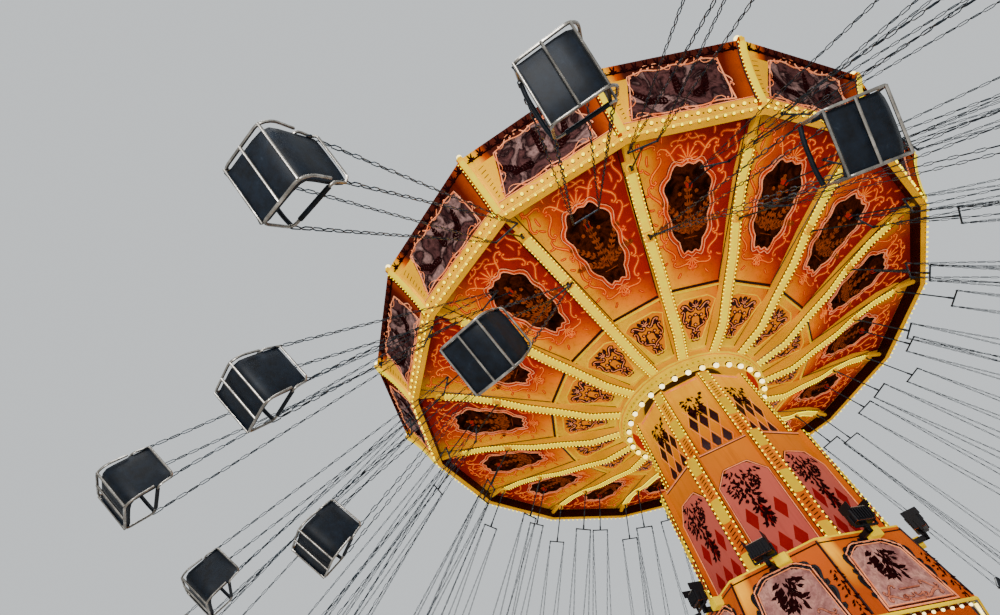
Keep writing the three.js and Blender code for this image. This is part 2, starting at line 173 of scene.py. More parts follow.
def row_tree():
    """Copies of a part in a row along the incoming edges, standing on the normals kept as "face"."""
    tree = group(
        "Row along a path",
        [
            ("Part", "Object"),
            ("Spacing", "Float"),
            ("Quarter turns", "Float"),
            ("Size variation", "Float"),
            ("Seed", "Int"),
            ("Material", "Material"),
        ],
    )
    given = add(tree, "NodeGroupInput")
    path = add(tree, "GeometryNodeMeshToCurve", {"Mesh": given.outputs["Geometry"]})
    values = {"Curve": path, "Length": given.outputs["Spacing"]}
    spots = add(tree, "GeometryNodeCurveToPoints", values, mode="LENGTH")
    face = add(tree, "GeometryNodeInputNamedAttribute", {"Name": "face"}, data_type="FLOAT_VECTOR")
    stand = add(tree, "FunctionNodeAlignRotationToVector", {"Vector": face}, axis="Z")
    values = {"Rotation": stand, "Vector": spots.outputs["Tangent"]}
    along = add(tree, "FunctionNodeAlignRotationToVector", values, axis="X", pivot_axis="Z")
    index = add(tree, "GeometryNodeInputIndex")
    odd = add(tree, "ShaderNodeMath", {0: index, 1: 2.0}, operation="MODULO")
    values = {0: odd, 1: given.outputs["Quarter turns"]}
    quarter = add(tree, "ShaderNodeMath", values, operation="MULTIPLY")
    angle = add(tree, "ShaderNodeMath", {0: quarter, 1: math.pi / 2}, operation="MULTIPLY")
    roll = add(tree, "FunctionNodeAxisAngleToRotation", {"Axis": (1, 0, 0), "Angle": angle})
    values = {"Rotation": along, "Rotate By": roll}
    turned = add(tree, "FunctionNodeRotateRotation", values, rotation_space="LOCAL")
    values = {0: 1.0, 1: given.outputs["Size variation"]}
    low = add(tree, "ShaderNodeMath", values, operation="SUBTRACT")
    values = {2: low, 3: 1.0, "Seed": given.outputs["Seed"]}
    size = add(tree, "FunctionNodeRandomValue", values, data_type="FLOAT").outputs[1]
    part = add(tree, "GeometryNodeObjectInfo", {"Object": given.outputs["Part"]}).outputs["Geometry"]
    values = {"Points": spots, "Instance": part, "Rotation": turned, "Scale": size}
    copies = add(tree, "GeometryNodeInstanceOnPoints", values)
    real = add(tree, "GeometryNodeRealizeInstances", {"Geometry": copies})
    values = {"Geometry": real, "Material": given.outputs["Material"]}
    done = add(tree, "GeometryNodeSetMaterial", values)
    add(tree, "NodeGroupOutput", {"Geometry": done})
    return tree


def evaluated(name, mesh, tree, values):
    """The plain mesh that a tree makes from the given mesh and named inputs."""
    source = bpy.data.objects.new(name, mesh)
    bpy.context.scene.collection.objects.link(source)
    nodes = source.modifiers.new(name, "NODES")
    nodes.node_group = tree
    for item in tree.interface.items_tree:
        if item.in_out == "INPUT" and item.name in values:
            nodes[item.identifier] = values[item.name]
    depsgraph = bpy.context.evaluated_depsgraph_get()
    made = bpy.data.meshes.new_from_object(source.evaluated_get(depsgraph))
    source.modifiers.remove(nodes)
    bpy.data.objects.remove(source)
    made.name = name
    return made


def tree_named(name, maker):
    """The tree of that name, made the first time."""
    return bpy.data.node_groups.get(name) or maker()


def around(name, mesh, copies, material):
    """Copies of a mesh in equal steps around the axis."""
    tree = tree_named("Repeat around the axis", repeat_tree)
    return evaluated(name, mesh, tree, {"Copies": copies, "Material": material})


def in_row(name, lines, part, spacing, material, quarters=0.0, variation=0.0, seed=1):
    """A mesh of copies of the part mesh along lines of (point, normal), a line being closed or not."""
    mesh = bpy.data.meshes.new(name + "_path")
    points, edges, normals = [], [], []
    for line, closed in lines:
        first = len(points)
        points += [p for p, _ in line]
        normals += [n for _, n in line]
        edges += [(first + i, first + i + 1) for i in range(len(line) - 1)]
        if closed:
            edges.append((first + len(line) - 1, first))
    mesh.from_pydata(points, edges, [])
    face = mesh.attributes.new("face", "FLOAT_VECTOR", "POINT")
    face.data.foreach_set("vector", [c for n in normals for c in n])
    carrier = bpy.data.objects.new(name + "_part", part)
    bpy.context.scene.collection.objects.link(carrier)
    tree = tree_named("Row along a path", row_tree)
    values = {
        "Part": carrier,
        "Spacing": spacing,
        "Quarter turns": quarters,
        "Size variation": variation,
        "Seed": seed,
        "Material": material,
    }
    made = evaluated(name, mesh, tree, values)
    bpy.data.objects.remove(carrier)
    return made


# Mesh helpers
def mesh_of(name, bm, smooth=None):
    """A mesh with faces outwards, smooth up to an angle in degrees where one is given."""
    bmesh.ops.recalc_face_normals(bm, faces=bm.faces)
    mesh = bpy.data.meshes.new(name)
    bm.to_mesh(mesh)
    bm.free()
    if smooth:
        mesh.polygons.foreach_set("use_smooth", [True] * len(mesh.polygons))
        mesh.set_sharp_from_angle(angle=math.radians(smooth))
    return mesh


def joined(name, meshes):
    """One mesh from several."""
    bm = bmesh.new()
    for mesh in meshes:
        bm.from_mesh(mesh)
    made = bpy.data.meshes.new(name)
    bm.to_mesh(made)
    bm.free()
    return made


def piece(name, mesh, body, material, stands_for=()):
    """Links a finished mesh as a piece of the ride that moves with a body."""
    made = bpy.data.objects.new(name, mesh)
    mesh.name = name
    mesh.materials.clear()
    mesh.materials.append(material)
    bpy.context.scene.collection.objects.link(made)
    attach(made, body)
    if stands_for:
        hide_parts(*stands_for)
    return made


def ring_piece(name, mesh, copies, body, slot, material):
    """Copies of a mesh around the axis, as one piece."""
    piece(name, around(name, mesh, copies, material), body, material)


def dress(node, material):
    """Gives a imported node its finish."""
    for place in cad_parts[node].material_slots:
        place.material = material


def height_at(line, radius):
    """Height of a line of (radius, height) points at a radius."""
    for (r0, z0), (r1, z1) in zip(line, line[1:]):
        if radius <= r1:
            return z0 + (z1 - z0) * (radius - r0) / (r1 - r0)
    return line[-1][1]


def radius_at(line, height):
    """Radius of a line of (radius, height) points at a height."""
    return height_at([(z, r) for r, z in line], height)


def slope_at(value_at, line, place, step=0.02):
    """Slope of a line, from its values a step to both sides."""
    return (value_at(line, place + step) - value_at(line, place - step)) / (2 * step)


def directions(azimuth):
    """Directions outwards and across at an azimuth."""
    c, s = math.cos(azimuth), math.sin(azimuth)
    return Vector((c, s, 0)), Vector((-s, c, 0))


def circle(radius, count, x=0.0, y=0.0):
    """Points in equal steps around a centre."""
    angles = [math.tau * i / count for i in range(count)]
    return [(x + radius * math.cos(a), y + radius * math.sin(a)) for a in angles]


def ceiling(u, v):
    """Point and downward normal of the first ceiling sector: u across it, v outwards."""
    outward, across = directions(HALF)
    here = height_at(CEILING_UNDERSIDE, v / COS)
    slope = slope_at(height_at, CEILING_UNDERSIDE, v / COS) / COS
    return outward * v + across * u + UP * here, (outward * slope - UP).normalized()


def fascia(u, v):
    """Point and outward normal of the first fascia board: u across it, v the height."""
    outward, across = directions(HALF)
    slope = slope_at(radius_at, FASCIA_LINE, v) * COS
    point = outward * radius_at(FASCIA_LINE, v) * COS + across * u + UP * v
    return point, (outward - UP * slope).normalized()


def wall(distance, azimuth=TOWER_TURN):
    """Surface function of an upright tower face at a distance from the axis."""
    outward, across = directions(azimuth)
    return lambda u, v: (outward * distance + across * u + UP * v, outward)


def pedestal_face(u, v):
    outward, across = directions(TOWER_HALF)
    slope = slope_at(radius_at, PEDESTAL_LINE, v, 0.01) * math.cos(TOWER_HALF)
    point = outward * radius_at(PEDESTAL_LINE, v) * math.cos(TOWER_HALF) + across * u + UP * v
    return point, (outward - UP * slope).normalized()


# Sections of a raised strip, as shares of its half width and of its height
RIDGE = ((-1, -0.1), (0, 1), (1, -0.1))
MOULDING = ((-1, -0.1), (-0.55, 1), (0.55, 1), (1, -0.1))
FLAT = ((-1, -0.1), (-0.96, 1), (0.96, 1), (1, -0.1))
# Depth to which plates and domes are set into what carries them
SUNK = -0.002
DOME_SIDES = 5
SCROLL_STEPS = 11
LEAF_STEPS = 3


def bridge(bm, rings, closed):
    """Faces between rings of vertices, and over both ends where the row of rings isn't closed."""
    count, sides = len(rings), len(rings[0])
    for i in range(count if closed else count - 1):
        a, b = rings[i], rings[(i + 1) % count]
        for j in range(sides):
            k = (j + 1) % sides
            bm.faces.new((a[j], a[k], b[k], b[j]))
    if not closed:
        bm.faces.new(rings[0])
        bm.faces.new(rings[-1])


def shell(bm, top, low):
    """Faces of two grids of vertices and of the wall between their edges."""
    rows, columns = len(top) - 1, len(top[0]) - 1
    for grid in (top, low):
        for i in range(rows):
            for j in range(columns):
                bm.faces.new((grid[i][j], grid[i][j + 1], grid[i + 1][j + 1], grid[i + 1][j]))
    edge = [(0, j) for j in range(columns)] + [(i, columns) for i in range(rows)]
    edge += [(rows, j) for j in range(columns, 0, -1)] + [(i, 0) for i in range(rows, 0, -1)]
    for (a, b), (c, d) in zip(edge, edge[1:] + edge[:1]):
        bm.faces.new((top[a][b], top[c][d], low[c][d], low[a][b]))


def ribbon(bm, surface, line, half, height, closed, profile):
    """A raised strip along a line of (u, v) points on a surface; half is its half width or a function."""
    base = [surface(u, v) for u, v in line]
    count = len(base)
    rings = []
    for i, (point, normal) in enumerate(base):
        before = base[i - 1 if closed or i else 0][0]
        after = base[(i + 1) % count if closed else min(i + 1, count - 1)][0]
        side = normal.cross(after - before).normalized()
        wide = half(i / (count - 1)) if callable(half) else half
        tall = height * min(1, wide / 0.006)
        rings.append([bm.verts.new(point + side * wide * a + normal * tall * b) for a, b in profile])
    bridge(bm, rings, closed)


def panel(v0, v1, low, high, corner, sides=(0, 0.0), ends=(0, 0.0)):
    """Shape of a panel: s from 0 to 1 along v and t from -1 to 1 across give (u, v).
    low and high are its half widths, corner rounds it, sides and ends are (lobes, depth)."""

    def shape(s, t):
        a = 2 * s - 1
        waist = 1 + sides[1] * math.cos(sides[0] * math.pi * a)
        wide = (low + (high - low) * s) * (1 - corner * a**8) * waist
        tall = (1 - corner * t**8) * (1 + ends[1] * math.cos(ends[0] * math.pi * t))
        return t * wide, (v0 + v1) / 2 + (v1 - v0) / 2 * a * tall

    return shape


def arched(v0, v1, low, high, cut, drop):
    """Shape of a panel whose outer corners are cut off; low and high are its half widths."""

    def shape(s, t):
        top = v1 - drop * max(0.0, abs(t) * high - high + cut) / cut
        return t * (low + (high - low) * s), v0 + (top - v0) * s

    return shape


def border(shape, along, across):
    """The closed outline of a shape as (u, v) points."""
    line = [shape(0, -1 + 2 * j / across) for j in range(across)]
    line += [shape(i / along, 1) for i in range(along)]
    line += [shape(1, 1 - 2 * j / across) for j in range(across)]
    line += [shape(1 - i / along, -1) for i in range(along)]
    return line


def plate(bm, surface, shape, lift, rows, columns):
    """A raised plate of a shape on a surface."""
    grids = []
    for rise in (lift, SUNK):
        grid = []
        for i in range(rows + 1):
            line = [surface(*shape(i / rows, -1 + 2 * j / columns)) for j in range(columns + 1)]
            grid.append([bm.verts.new(p + n * rise) for p, n in line])
        grids.append(grid)
    shell(bm, *grids)


def dome(bm, surface, u, v, radius, height):
    """A low dome on a surface."""
    point, normal = surface(u, v)
    side = normal.orthogonal().normalized()
    other = normal.cross(side)
    rings = []
    for share, rise in ((1, SUNK), (0.75, height * 0.75)):
        ring = circle(radius * share, DOME_SIDES)
        rings.append([bm.verts.new(point + side * x + other * y + normal * rise) for x, y in ring])
    foot, ring = rings
    peak = bm.verts.new(point + normal * height)
    bm.faces.new(foot)
    for i in range(DOME_SIDES):
        k = (i + 1) % DOME_SIDES
        bm.faces.new((foot[i], foot[k], ring[k], ring[i]))
        bm.faces.new((ring[i], ring[k], peak))


def scroll_line(start, end, first, last, bow):
    """A scroll between two eyes: first and last are the turns it coils at each end, bow the turns between."""
    heading, x, y = 0.0, 0.0, 0.0
    points = [(0.0, 0.0)]
    for i in range(SCROLL_STEPS):
        s = (i + 0.5) / SCROLL_STEPS
        heading += math.tau * (4 * first * (1 - s) ** 3 + 4 * last * s**3 + bow) / SCROLL_STEPS
        stride = 0.22 + 0.78 * math.sin(math.pi * s)
        x += math.cos(heading) * stride
        y += math.sin(heading) * stride
        points.append((x, y))
    scale = math.hypot(end[0] - start[0], end[1] - start[1]) / math.hypot(x, y)
    turn = math.atan2(end[1] - start[1], end[0] - start[0]) - math.atan2(y, x)
    c, s = math.cos(turn) * scale, math.sin(turn) * scale
    return [(start[0] + px * c - py * s, start[1] + px * s + py * c) for px, py in points]


def swell(size):
    """Half width of a scroll that is widest at its middle."""
    return lambda s: size * (0.22 + 0.78 * math.sin(math.pi * s) ** 0.8)


def blade(size):
    """Half width of a pointed leaf."""
    return lambda s: size * max(0.08, math.sin(math.pi * min(1, s * 0.95 + 0.05)) ** 0.9)


def leaf_line(u, v, angle, length, bend, steps):
    """Middle line of a leaf that sets off at an angle and bends."""
    line = [(u, v)]
    for i in range(steps):
        heading = angle + bend * (i + 0.5) / steps
        u += math.cos(heading) * length / steps
        v += math.sin(heading) * length / steps
        line.append((u, v))
    return line


class Pen:
    """Draws raised ornament on a surface: grow widens every stroke and rise scales its height."""

    def __init__(self, surface, grow=0.0, rise=1.0):
        self.bm = bmesh.new()
        self.surface = surface
        self.grow = grow
        self.rise = rise

    def stroke(self, line, half, height=0.014, closed=False, profile=RIDGE, both=False):
        """A strip along a line, and its mirror image where both are wanted."""
        wide = (lambda s: max(0.003, half(s) + self.grow)) if callable(half) else half + self.grow
        for path in (line, [(-u, v) for u, v in line]) if both else (line,):
            ribbon(self.bm, self.surface, path, wide, height * self.rise, closed, profile)

    def dot(self, u, v, radius, height=0.016, both=False):
        for at in (u, -u) if both and u else (u,):
            dome(self.bm, self.surface, at, v, radius + self.grow, height * self.rise)

    def scroll(self, start, end, first, last, bow, size, both=True):
        """A scroll that ends in two dots."""
        line = scroll_line(start, end, first, last, bow)
        self.stroke(line, swell(size), 0.016, both=both)
        for u, v in (line[0], line[-1]):
            self.dot(u, v, size * 1.15, 0.02, both)

    def leaf(self, u, v, angle, length, size, bend, both=True):
        self.stroke(leaf_line(u, v, angle, length, bend, LEAF_STEPS), blade(size), 0.012, both=both)

    def bunch(self, u, v, length, wide, count, leaf, seed, taper):
        """A hanging bunch of small leaves that thins out downwards."""
        chance = random.Random(seed)
        for i in range(count):
            s = (i + 0.5) / count
            side = chance.uniform(-1, 1)
            at = u + side * wide * (1 - taper * s) + 0.1 * wide * math.sin(9 * s)
            heading = -math.pi / 2 + side * 1.2 + chance.uniform(-0.7, 0.7)
            reach = leaf * chance.uniform(0.7, 1.3)
            line = leaf_line(at, v - length * s, heading, reach, chance.uniform(-0.8, 0.8), 2)
            self.stroke(line, blade(reach * 0.26), 0.01)

    def fan(self, u, v, angle, spread, length, count, size):
        """A palmette of leaves spread about an angle."""
        for i in range(count):
            share = i / (count - 1) * 2 - 1
            reach = length * (1 - 0.35 * abs(share) ** 1.5)
            self.leaf(u, v, angle + share * spread, reach, size, share * 0.5, False)
        self.dot(u, v, size * 1.6, 0.02)

    def spray(self, u, v, angle, length, leaves, size, bend, both=True):
        """A bending stem with leaves to both of its sides."""
        stem = leaf_line(u, v, angle, length, bend, leaves + 1)
        self.stroke(stem, size * 0.35, 0.01, both=both)
        for i, (x, y) in enumerate(stem[1:]):
            heading = angle + bend * (i + 1) / (leaves + 1)
            reach = size * (4.2 - 2.0 * i / leaves)
            self.leaf(x, y, heading + 0.9, reach, size, -0.5, both)
            self.leaf(x, y, heading - 0.9, reach, size, 0.5, both)
        self.leaf(stem[-1][0], stem[-1][1], angle + bend, size * 3, size, 0.0, both)

    def lozenge(self, u, v, half, tall):
        line = [(u, v - tall), (u, v), (u, v + tall)]
        self.stroke(line, lambda s: half * (1 - abs(2 * s - 1)) + 0.001, 0.005, profile=FLAT)

    def mesh(self, name, smooth=None):
        return mesh_of(name, self.bm, smooth)


def lifted(surface, rise):
    """The same surface raised along its normal."""

    def above(u, v):
        point, normal = surface(u, v)
        return point + normal * rise, normal

    return above


def carved(name, surface, draw, copies, body, slot, bright, under_layer=None, grow=0.011):
    """Ornament of one sector repeated around: the bright carving and a wider layer under it, which in oxblood
    is a painted shadow round the carving and otherwise a ground of its own colour.
    """
    layers = [("carving", 0.0, 1.0, bright)]
    if under_layer:
        layers.append(("outline", grow, 0.4, under_layer))
    for label, wide, rise, material in layers:
        pen = Pen(surface, wide, rise)
        draw(pen)
        title = f"{name}_{label}"
        ring_piece(title, pen.mesh(title), copies, body, slot, material)


def panels(name, surface, shapes, lift, copies, body, slot, material, rows=14, columns=6):
    """Raised plates of one sector repeated around."""
    bm = bmesh.new()
    for shape in shapes:
        plate(bm, surface, shape, lift, rows, columns)
    ring_piece(name, mesh_of(name, bm), copies, body, slot, material)


def tube(bm, points, radius, sides, closed=False):
    """A round tube along points, with its section carried along without twist."""
    count = len(points)
    ahead = []
    for i in range(count):
        before = points[i - 1 if closed or i else 0]
        after = points[(i + 1) % count if closed else min(i + 1, count - 1)]
        ahead.append((after - before).normalized())
    side = ahead[0].orthogonal().normalized()
    rings = []
    for point, along in zip(points, ahead):
        side = (side - along * side.dot(along)).normalized()
        other = along.cross(side)
        rings.append([bm.verts.new(point + side * x + other * y) for x, y in circle(radius, sides)])
    bridge(bm, rings, closed)


def rounded(corners, radius):
    """An open line through corners with its bends rounded."""
    points = [corners[0]]
    for last, corner, after in zip(corners, corners[1:], corners[2:]):
        to_last, to_next = last - corner, after - corner
        reach = min(radius, to_last.length * 0.45, to_next.length * 0.45)
        a = corner + to_last.normalized() * reach
        b = corner + to_next.normalized() * reach
        for t in (0, 1 / 3, 2 / 3, 1):
            points.append(a * (1 - t) ** 2 + corner * (2 * t * (1 - t)) + b * t**2)
    return [*points, corners[-1]]


def lathe(bm, profile, sides, start=Vector((0, 0, 0))):
    """A turned shape about the Z axis through start, from (radius, height) points ending on the axis
    or back where they began."""
    rings = []
    for radius, height in profile:
        ring = circle(radius, 1 if radius < 1e-6 else sides)
        rings.append([bm.verts.new(start + Vector((x, y, height))) for x, y in ring])
    if profile[0] == profile[-1]:
        for vertex in rings.pop():
            bm.verts.remove(vertex)
        rings.append(rings[0])
    for a, b in zip(rings, rings[1:]):
        for i in range(sides):
            k = (i + 1) % sides
            corners = [a[i % len(a)], a[k % len(a)], b[k % len(b)], b[i % len(b)]]
            corners = list(dict.fromkeys(corners))
            if len(corners) > 2:
                bm.faces.new(corners)


# Sizes and colours that a user would change
def span(name, description, metres):
    return bpy.props.FloatProperty(name=name, description=description, default=metres, min=0.0, unit="LENGTH")


def shade(name, description, value):
    return bpy.props.FloatVectorProperty(
        name=name, description=description, default=linear(value), size=4, min=0.0, max=1.0, subtype="COLOR"
    )


class SwingRideSizes(bpy.types.PropertyGroup):
    rim_bulb: span("Rim bulb", "Radius of a bulb along the canopy's edge", 0.026)
    rim_pitch: span("Rim pitch", "Distance between the bulbs along the canopy's edge", 0.15)
    rib_bulb: span("Rib bulb", "Radius of a bulb along a rib", 0.017)
    rib_pitch: span("Rib pitch", "Distance between the bulbs along a rib", 0.08)
    rib_strip: span("Rib strip", "Half width of the lit strip under a rib", 0.072)
    hub_globe: span("Hub globe", "Radius of a globe under the hub ring", 0.062)
    post_bulb: span("Post bulb", "Radius of the bulb on top of a fascia post", 0.055)
    tower_bulb: span("Tower bulb", "Radius of a bulb on the edges of the tower's pilasters", 0.018)
    link_pitch: span("Link pitch", "Distance from one chain link to the next", 0.12)
    link_wire: span("Link wire", "Radius of the wire of a chain link", 0.0065)
    chair_tube: span("Chair tube", "Radius of the tube of a chair's frame", 0.0115)


class SwingRideColours(bpy.types.PropertyGroup):
    lamp: shade("Lamp glass", "Lit bulbs and globes", "#FFF0C4")
    ceiling_red: shade("Ceiling red", "Ground of the outer ceiling boards", "#C02000")
    # Gold of the inner boards; beside the lamp rows and around the hub it is brightened with painted
    # lamplight.
    ceiling_gold: shade("Ceiling gold", "Ceiling boards beside the lamps and around the hub", "#FFBC00")
    scroll_gold: shade("Scroll gold", "Ridges of the carved scrolls", "#FF9030")
    rose_gold: shade("Rose gold", "Frames of the painted panels", "#FFA070")
    # Colour of the painted shadow round ornament, and of dark lines, ticks and sockets.
    outline: shade("Outline", "Dark lines around ornament", "#2C0600")
    rib_yellow: shade("Rib yellow", "Ribs, rim and posts", "#F2AC00")
    board_violet: shade("Board violet", "Ground of the pictures on the fascia", "#4A1C14")
    drum_gold: shade("Drum gold", "Top of the drum under the canopy", "#E09C00")
    drum_orange: shade("Drum orange", "Foot of the drum under the canopy", "#C65A08")
    maroon: shade("Maroon", "Lozenges of the drum", "#2E0610")
    salmon: shade("Salmon", "Panels of the tower casing", "#CC6450")
    crimson: shade("Crimson", "Lozenges of the tower casing", "#8A1612")
    orange: shade("Orange", "Ground of the casing and pedestal", "#CC5A0C")
    dusty_pink: shade("Dusty pink", "Panels of the pedestal", "#98655E")
    roof_red: shade("Roof red", "Roof panels", "#8E2A1C")
    seat_blue: shade("Seat blue", "Seat shells and lap bars", "#111923")


def sizes():
    return bpy.context.scene.swing_ride_sizes


def paint(name):
    return tuple(getattr(bpy.context.scene.swing_ride_colours, name))


# Finishes
# Lowest and highest roughness of a surface
MATT = (0.5, 0.65)
SATIN = (0.35, 0.5)
GLOSS = (0.25, 0.42)
MIX = {"data_type": "RGBA"}
MULTIPLY = {"data_type": "RGBA", "blend_type": "MULTIPLY"}


def begin(name, roughness, metallic=0.0, specular=0.5):
    """A new material, its tree, its shader and the object coordinates."""
    material = bpy.data.materials.new(name)
    material.use_nodes = True
    tree = material.node_tree
    tree.nodes.clear()
    values = {"Roughness": roughness, "Metallic": metallic, "Specular IOR Level": specular}
    shader = add(tree, "ShaderNodeBsdfPrincipled", values)
    add(tree, "ShaderNodeOutputMaterial", {"Surface": shader})
    position = add(tree, "ShaderNodeTexCoord").outputs["Object"]
    return material, tree, shader, position


def weather(tree, shader, position, base, dirt, chip, patch, grain, chips, gloss, relief):
    """Fading, rain streaks, small chips and an orange-peel relief over a base colour."""
    # Rain streaks are about 70 mm wide and 0.9 m long. Chips of 40 mm and a peel of 8 to 25 mm are
    # coarser than the real ones, which would be too fine to show from the ground.
    fade = add(tree, "ShaderNodeTexNoise", {"Vector": position, "Scale": patch, "Detail": 5.0})
    light = add(tree, "ShaderNodeValToRGB", {"Fac": fade}, stops=[(0.3, 0.72), (0.7, 1.0)])
    colour = add(tree, "ShaderNodeMix", {0: 1.0, 6: base, 7: light}, **MULTIPLY)
    long = add(tree, "ShaderNodeMapping", {"Vector": position, "Scale": (9, 9, 0.7)})
    streak = add(tree, "ShaderNodeTexNoise", {"Vector": long, "Scale": 1.6, "Detail": 6.0})
    run = add(tree, "ShaderNodeValToRGB", {"Fac": streak}, stops=[(0.52, 0.0), (0.85, 0.35)])
    colour = add(tree, "ShaderNodeMix", {0: run, 6: colour, 7: dirt}, **MIX)
    values = {"Vector": position, "Scale": 26.0, "Detail": 8.0, "Roughness": 0.7}
    fleck = add(tree, "ShaderNodeTexNoise", values)
    spot = add(tree, "ShaderNodeValToRGB", {"Fac": fleck}, stops=[(chips, 0.0), (chips + 0.02, 1.0)])
    colour = add(tree, "ShaderNodeMix", {0: spot, 6: colour, 7: chip}, **MIX)
    shine = add(tree, "ShaderNodeMapRange", {0: streak, 1: 0.3, 2: 0.75, 3: gloss[0], 4: gloss[1]})
    peel = add(tree, "ShaderNodeTexNoise", {"Vector": position, "Scale": grain, "Detail": 3.0})
    bump = add(tree, "ShaderNodeBump", {"Height": peel, "Strength": 0.35, "Distance": relief})
    feed(tree, shader, {"Base Color": colour, "Roughness": shine, "Normal": bump})
    return colour


def sector(tree, position, wobble, copies=SIDES):
    """Place across a sector from 0 to 1, distance from the axis and height."""
    x, y, height = add(tree, "ShaderNodeSeparateXYZ", {0: position}).outputs
    angle = add(tree, "ShaderNodeMath", {0: y, 1: x}, operation="ARCTAN2")
    turns = add(tree, "ShaderNodeMath", {0: angle, 1: copies / math.tau}, operation="MULTIPLY")
    waver = add(tree, "ShaderNodeTexNoise", {"Vector": position, "Scale": 2.2, "Detail": 4.0})
    moved = add(tree, "ShaderNodeMath", {0: waver, 1: wobble, 2: turns}, operation="MULTIPLY_ADD")
    share = add(tree, "ShaderNodeMath", {0: moved}, operation="FRACT")
    flat = add(tree, "ShaderNodeCombineXYZ", {0: x, 1: y})
    reach = add(tree, "ShaderNodeVectorMath", {0: flat}, operation="LENGTH")
    return share, reach, height


def ramp(tree, factor, stops, low=0.0, high=1.0):
    """Colours of stops spread between two values of a factor."""
    share = add(tree, "ShaderNodeMapRange", {0: factor, 1: low, 2: high})
    return add(tree, "ShaderNodeValToRGB", {"Fac": share}, stops=stops)


def dimmed(tree, colour, *shares):
    """A colour multiplied by greys."""
    for share in shares:
        colour = add(tree, "ShaderNodeMix", {0: 1.0, 6: colour, 7: share}, **MULTIPLY)
    return colour


def glowing(tree, shader, colour, strength):
    """Emission in the colour of a surface: on lamp glass the lamps' own light, on boards, enamel, gilding and
    gelcoat a painted glow that stands for the bulbs' light falling on them.
    """
    feed(tree, shader, {"Emission Color": colour, "Emission Strength": strength})


@functools.cache
def ceiling_plywood():
    # Signwriter's enamel on birch plywood, brushed and flatted matt: deep red, with painted lamplight that
    # turns it gold beside the lamp rows and around the hub, painted shade that darkens it towards the far
    # rib and the rim, and a painted glow for the lamps' own light on it.
    made, tree, shader, position = begin("Flatted enamel on brushed plywood", 0.55, specular=0.0)
    share, reach, _ = sector(tree, position, 0.03)
    # Painted lamplight in gold beside the near rib; towards the far rib the red is deepened as painted shade.
    lit = [(0.04, "#FFBC00"), (0.16, "#FFA400"), (0.25, "#E05A00")]
    outer = ramp(tree, share, [*lit, (0.42, paint("ceiling_red")), (0.97, "#981200")])
    # Painted shadow: the outer boards darken towards the rim.
    edge = ramp(tree, reach, [(0.0, 1.0), (0.6, 0.85), (0.95, 0.6)], 4.4, CEILING_REACH)
    outer = dimmed(tree, outer, edge)
    # Painted light: the outer boards turn orange-gold at their inner end, by the panel joint.
    low = ramp(tree, share, [(0.1, "#FFB000"), (0.6, "#FF8000"), (0.95, "#C03000")])
    warm = ramp(tree, reach, [(0.1, 0.95), (0.75, 0.0)], PANEL_JOINT, 3.9)
    outer = add(tree, "ShaderNodeMix", {0: warm, 6: outer, 7: low}, **MIX)
    # Painted lamplight: the gold of the inner boards is paler beside the near rib.
    gold_and_lamplight = [(0.05, "#FFCC00"), (0.3, paint("ceiling_gold")), (0.6, "#FF9C00"), (0.9, "#F08000")]
    inner = ramp(tree, share, gold_and_lamplight)
    # Painted light of the hub globes: the inner boards turn pale yellow towards the hub.
    near = ramp(tree, reach, [(0.0, 1.0), (0.5, 0.3), (1.0, 0.0)], 1.6, 3.0)
    inner = add(tree, "ShaderNodeMix", {0: near, 6: inner, 7: "#FFDC00"}, **MIX)
    side = add(tree, "ShaderNodeMath", {0: reach, 1: PANEL_JOINT}, operation="GREATER_THAN")
    colour = add(tree, "ShaderNodeMix", {0: side, 6: inner, 7: outer}, **MIX)
    colour = weather(tree, shader, position, colour, "#3A0600", "#B05A10", 1.4, 48.0, 0.72, MATT, 0.003)
    # Painted glow: the boards' colour as emission, dimmer towards the far rib and the rim.
    beside = ramp(tree, share, [(0.04, 0.85), (0.2, 0.8), (0.3, 0.9), (0.8, 0.85), (1.0, 0.6)])
    out = ramp(tree, reach, [(0.0, 0.8), (0.32, 0.75), (0.34, 0.85), (1.0, 0.7)], 1.6, CEILING_REACH)
    glowing(tree, shader, dimmed(tree, colour, beside, out), 0.45)
    return made


@functools.cache
def scroll_gilding(name, low, high, strength):
    # Cast resin relief, gold-sized and glazed red in the hollows, drawn as patches of bright gold and warm
    # dark red, with a painted glow in the same colours for the bulbs' light on it.
    made, tree, shader, position = begin(name, 0.5, specular=0.0)
    turn = add(tree, "ShaderNodeTexNoise", {"Vector": position, "Scale": 3.5, "Detail": 6.0})
    colour = ramp(tree, turn, [(0.0, low), (0.5, high), (1.0, low)], 0.3, 0.7)
    colour = weather(tree, shader, position, colour, low, high, 2.2, 120.0, 0.6, (0.25, 0.45), 0.002)
    glowing(tree, shader, colour, strength)
    return made


